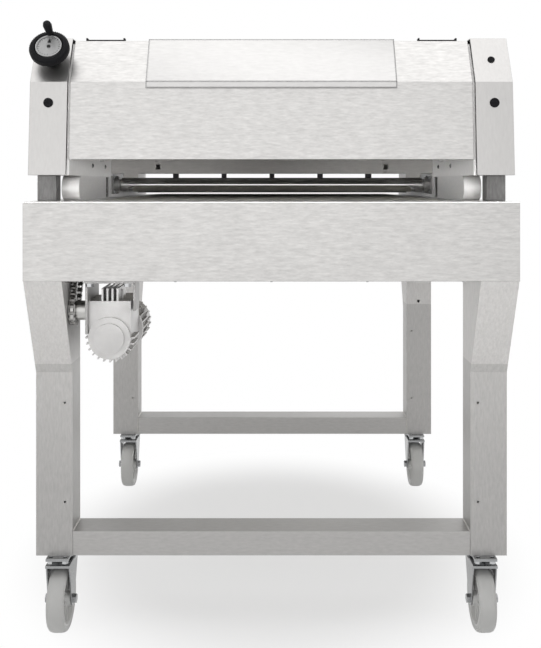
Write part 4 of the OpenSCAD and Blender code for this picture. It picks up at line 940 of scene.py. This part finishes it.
def make_links():
    """An outer link with its pins and an inner link with its rollers, as hidden objects."""
    outer, inner = [], []
    for side in SIDES:
        low, high = sorted((side * 0.0049, side * 0.0061))
        outer.append(link_plate("outer_plate", low, high))
        low, high = sorted((side * 0.0036, side * 0.0048))
        inner.append(link_plate("inner_plate", low, high))
    for x in (-PITCH / 2, PITCH / 2):
        outer.append((round_pin("pin", 0.0018, 0.0069, 10), Matrix.Translation((x, 0, 0))))
        inner.append((round_pin("roller", 0.00425, 0.0037, 12), Matrix.Translation((x, 0, 0))))
    return [bpy.data.objects.new("part_" + name, join_meshes(name, meshes))
            for name, meshes in (("outer_link", outer), ("inner_link", inner))]


def chain_path(centres):
    """The pins of a chain round equal sprockets, given counterclockwise.

    The number of links is even, and the straights are shared out evenly among their links.
    """
    count, step = len(centres), 2 * math.pi / TEETH
    points = [Vector(c) for c in centres]
    legs = [points[(i + 1) % count] - points[i] for i in range(count)]
    heading = [math.atan2(leg.y, leg.x) for leg in legs]
    wrap = [(heading[i] - heading[i - 1]) % (2 * math.pi) for i in range(count)]
    straight = sum(leg.length for leg in legs)
    links = 2 * round(straight / PITCH / 2 + TEETH / 2)
    fitted = straight / (links - TEETH)
    path, passed = [], 0.0
    for i in range(count):
        start = heading[i - 1] - math.pi / 2
        arc, line = wrap[i] / step, legs[i].length / fitted
        n = math.ceil(passed - 1e-6)
        while n < passed + arc - 1e-6:
            t = start + (n - passed) * step
            path.append(
                (points[i].x + PITCH_R * math.cos(t), points[i].y + PITCH_R * math.sin(t), 0.0))
            n += 1
        passed += arc
        outward = heading[i] - math.pi / 2
        away = Vector((math.cos(outward), math.sin(outward))) * PITCH_R
        while n < passed + line - 1e-6:
            p = points[i] + away + legs[i].normalized() * (n - passed) * fitted
            path.append((p.x, p.y, 0.0))
            n += 1
        passed += line
    return path


chain_tree = make_chain_tree()
outer_link, inner_link = make_links()
chain_runs = []
for x, centres in ((LOW_CHAIN_X, [OUTPUT, FRONT_ROLLER]),
                   (UP_CHAIN_X, [FRONT_ROLLER, COILING_ROLLER, FIXED_ROLLER])):
    path = chain_path(centres)
    run = bpy.data.meshes.new("chain_path")
    run.from_pydata(path, [(i, (i + 1) % len(path)) for i in range(len(path))], [])
    made = run_tree("chain", chain_tree, {"Outer Link": outer_link, "Inner Link": inner_link,
                                          "Finish": chain_steel}, run)
    made.transform(across_frame(x, (0, 0)))
    chain_runs.append(made)
for part in (outer_link, inner_link):
    bpy.data.objects.remove(part)
chains = add_piece("drive_chain_links", join_meshes("chains", chain_runs, chain_steel), "root")
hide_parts("drive_chains")


# Screws and bolts


def row(start, stop, count):
    """Evenly spaced values from start to stop."""
    return [start + (stop - start) * i / (count - 1) for i in range(count)]


HINGE_X, HINGE_Y, HINGE_LEAF = 0.160, -0.1745, 0.003
hinge_screws = [((s * HINGE_X + dx, HINGE_Y, COVER_TOP + HINGE_LEAF), UP)
                for s in SIDES for dx in (-0.024, 0.0, 0.024)]
scatter("hinge_screws", "screw_m5", hinge_screws, "root", zinc)

FLANGE_T = 0.006
flange_screws = [((s * (PLATE_IN - FLANGE_T), COILING_ROLLER[0] + dy, COILING_ROLLER[1] + dz),
                  RIGHT * -s)
                 for s in SIDES for dy in (-0.0205, 0.0205) for dz in (-0.0165, 0.0165)]
scatter("coil_bearing_bolts", "bolt_m6", flange_screws, "root", zinc, 0.9)

inner_screws = [((s * PLATE_IN, y, z), RIGHT * -s) for s in SIDES
                for y, z in ((-0.152, 0.929), (-0.300, 0.929), (0.200, 0.945), (0.400, 0.945))]
scatter("head_plate_screws", "screw_m5", inner_screws, "root", zinc)

BRACKET_UNDER = 0.703
bracket_bolts = [((x, y, BRACKET_UNDER), DOWN) for x in (-0.344, -0.272) for y in (-0.548, -0.445)]
scatter("bracket_bolts", "bolt_m8", bracket_bolts, "root", zinc)

# Middle of the terminal box's lid, from the gearbox's shafts
LID_BACK, LID_RISE = 0.106, 0.064
box_screws = [((WORM[0] + dx, OUTPUT[0] + LID_BACK + dy, WORM[1] + LID_RISE), UP)
              for dx in (-0.021, 0.021) for dy in (-0.021, 0.021)]
scatter("terminal_box_screws", "screw_m4", box_screws, "root", zinc)

HEM_Y = 0.5635
hem_screws = [((x, s * HEM_Y, APRON_Z), DOWN) for s in SIDES for x in row(-0.36, 0.36, 5)]
scatter("apron_hem_screws", "screw_m4", hem_screws, "root", zinc, 0.8)


# Weld beads where the crossbars and the legs meet


def bead(start, stop, axis):
    """Overlapping drops from one point to another."""
    step = 0.0021
    start, stop = Vector(start), Vector(stop)
    count = max(2, round((stop - start).length / step))
    return [(start + (stop - start) * i / (count - 1), axis, i * 0.7) for i in range(count)]


# Outer end of the crossbars, and half of their depth and of the leg's side
BAR_END, BAR_Y, BAR_HALF, BAR_TOP = 0.393, 0.436, 0.031, 0.2040
LEG_HALF = 0.036
beads = []
for s in SIDES:
    for end in SIDES:
        x, y = s * BAR_END, end * BAR_Y
        inside = Vector((-s, 0, 1)).normalized()
        beads += bead((x, y - BAR_HALF, BAR_TOP), (x, y + BAR_HALF, BAR_TOP), inside)
        face = y - end * LEG_HALF
        beads += bead((x, face, 0.161), (x, face, 0.199), Vector((-s, -end, 0)).normalized())
scatter("crossbar_welds", "weld_drop", beads, "root", weld_steel)


# Clips of the belt's seam


def make_belt_clip():
    """A bent wire hook that reaches over the seam from both sides."""
    reach, wire_r = 0.0062, 0.0008
    body = prism("clip_wire", [(-reach, -wire_r), (reach, -wire_r), (reach, wire_r),
                               (-reach, wire_r)], -0.0003, 0.0006)
    ends = [(lathe("clip_end", [(0, -0.0003), (0.0013, -0.0003), (0.0011, 0.0008), (0, 0.0010)], 8),
             Matrix.Translation((s * reach, 0, 0))) for s in SIDES]
    return join_meshes("belt_clip", [body, *ends])


keep_part("belt_clip", make_belt_clip())
SEAM_Y, BELT_RISE = 0.455, 0.001
clips = [((x, SEAM_Y, DECK + BELT_RISE), UP, math.pi / 2) for x in row(-0.330, 0.330, 83)]
scatter("belt_seam_clips", "belt_clip", clips, "root", zinc)


# Floor, lamps and camera


def see_through_light(tree):
    """1 where the camera, a reflection or a refraction looks."""
    path = wire(tree, "ShaderNodeLightPath")
    seen = math_node(tree, "MAXIMUM", path.outputs["Is Camera Ray"], path.outputs["Is Glossy Ray"])
    return math_node(tree, "MAXIMUM", seen, path.outputs["Is Transmission Ray"])


# Half widths of the oval of floor that keeps the shadow
SHADOW_X, SHADOW_Y = 0.62, 0.72


def make_floor():
    """A pale floor that keeps the shadow near the machine and fades to white further out."""
    half, z = 9.0, -0.0004
    mesh = bpy.data.meshes.new("studio_floor")
    mesh.from_pydata([(-half, -half, z), (half, -half, z), (half, half, z), (-half, half, z)], [],
                     [(0, 1, 2, 3)])
    floor = linked_object("studio_floor", mesh)
    made = bpy.data.materials.new("studio_floor_white")
    made.use_nodes = True
    tree = made.node_tree
    tree.nodes.clear()
    flat = wire(tree, "ShaderNodeMapping", {"Vector": object_place(tree),
                                            "Scale": (1 / SHADOW_X, 1 / SHADOW_Y, 0.0)})
    away = wire(tree, "ShaderNodeVectorMath", {0: flat.outputs[0]}, operation="LENGTH")
    far = ramp(tree, away.outputs["Value"], 0.55, 1.05, interpolation_type="SMOOTHSTEP")
    glow_share = ramp(tree, far, 0.0, 1.0, 0.55, 1.0)
    seen = math_node(tree, "MULTIPLY", see_through_light(tree), glow_share)
    matt = wire(tree, "ShaderNodeBsdfDiffuse", {"Color": rgb(0.93)})
    glow = wire(tree, "ShaderNodeEmission", {"Color": rgb(1.0), "Strength": 1.0})
    mixed = wire(tree, "ShaderNodeMixShader", {0: seen, 1: matt.outputs[0], 2: glow.outputs[0]})
    output = wire(tree, "ShaderNodeOutputMaterial")
    tree.links.new(mixed.outputs[0], output.inputs["Surface"])
    mesh.materials.append(made)


def make_world():
    """An even pale light that looks white where it is seen."""
    world = bpy.data.worlds.new("studio")
    scene.world = world
    world.use_nodes = True
    tree = world.node_tree
    tree.nodes.clear()
    light = wire(
        tree, "ShaderNodeBackground", {"Color": rgb((1.0, 0.995, 0.985)), "Strength": 0.45})
    white = wire(tree, "ShaderNodeBackground", {"Color": rgb(1.0), "Strength": 1.0})
    mixed = wire(tree, "ShaderNodeMixShader", {0: see_through_light(tree), 1: light.outputs[0],
                                               2: white.outputs[0]})
    output = wire(tree, "ShaderNodeOutputWorld")
    tree.links.new(mixed.outputs[0], output.inputs["Surface"])


def soft_lamp(name, place, target, size, power, spread=180.0, mirrored=True):
    """A rectangular lamp turned to a target; reflections show it only when it is mirrored."""
    lamp = bpy.data.lights.new(name, "AREA")
    lamp.shape = "RECTANGLE"
    lamp.size, lamp.size_y = size
    lamp.energy = power
    lamp.spread = math.radians(spread)
    made = linked_object(name, lamp)
    made.location = place
    made.visible_glossy = mirrored
    made.rotation_mode = "QUATERNION"
    made.rotation_quaternion = (Vector(target) - Vector(place)).to_track_quat("-Z", "Y")


make_floor()
make_world()
soft_lamp("overhead_lamp", (0.0, -0.6, 3.4), (0.0, -0.1, 0.8), (3.4, 3.4), 28.0)
soft_lamp("front_lamp", (-0.9, -3.9, 1.25), (0.0, 0.0, 0.85), (5.0, 3.0), 20.0)
for side in SIDES:
    soft_lamp("low_lamp", (side * 2.2, -2.2, 0.87), (0.0, -0.3, 0.88), (1.2, 0.5), 2.6, 30.0, False)
soft_lamp("rear_lamp", (1.4, 3.2, 2.0), (0.0, 0.0, 0.7), (2.8, 2.0), 10.0)

# A level camera straight from the front, with its lens shifted down
camera = bpy.data.cameras.new("camera")
camera.lens = 50.9
camera.sensor_width = 36.0
camera.shift_x = -0.0051
camera.shift_y = -0.2199
camera_object = linked_object("camera", camera)
camera_object.location = (0.0046, -2.282, 0.895)
camera_object.rotation_euler = (math.radians(90), 0.0, 0.0)
scene.camera = camera_object
scene.view_settings.view_transform = "Standard"

for part in PARTS.values():
    bpy.data.objects.remove(part)
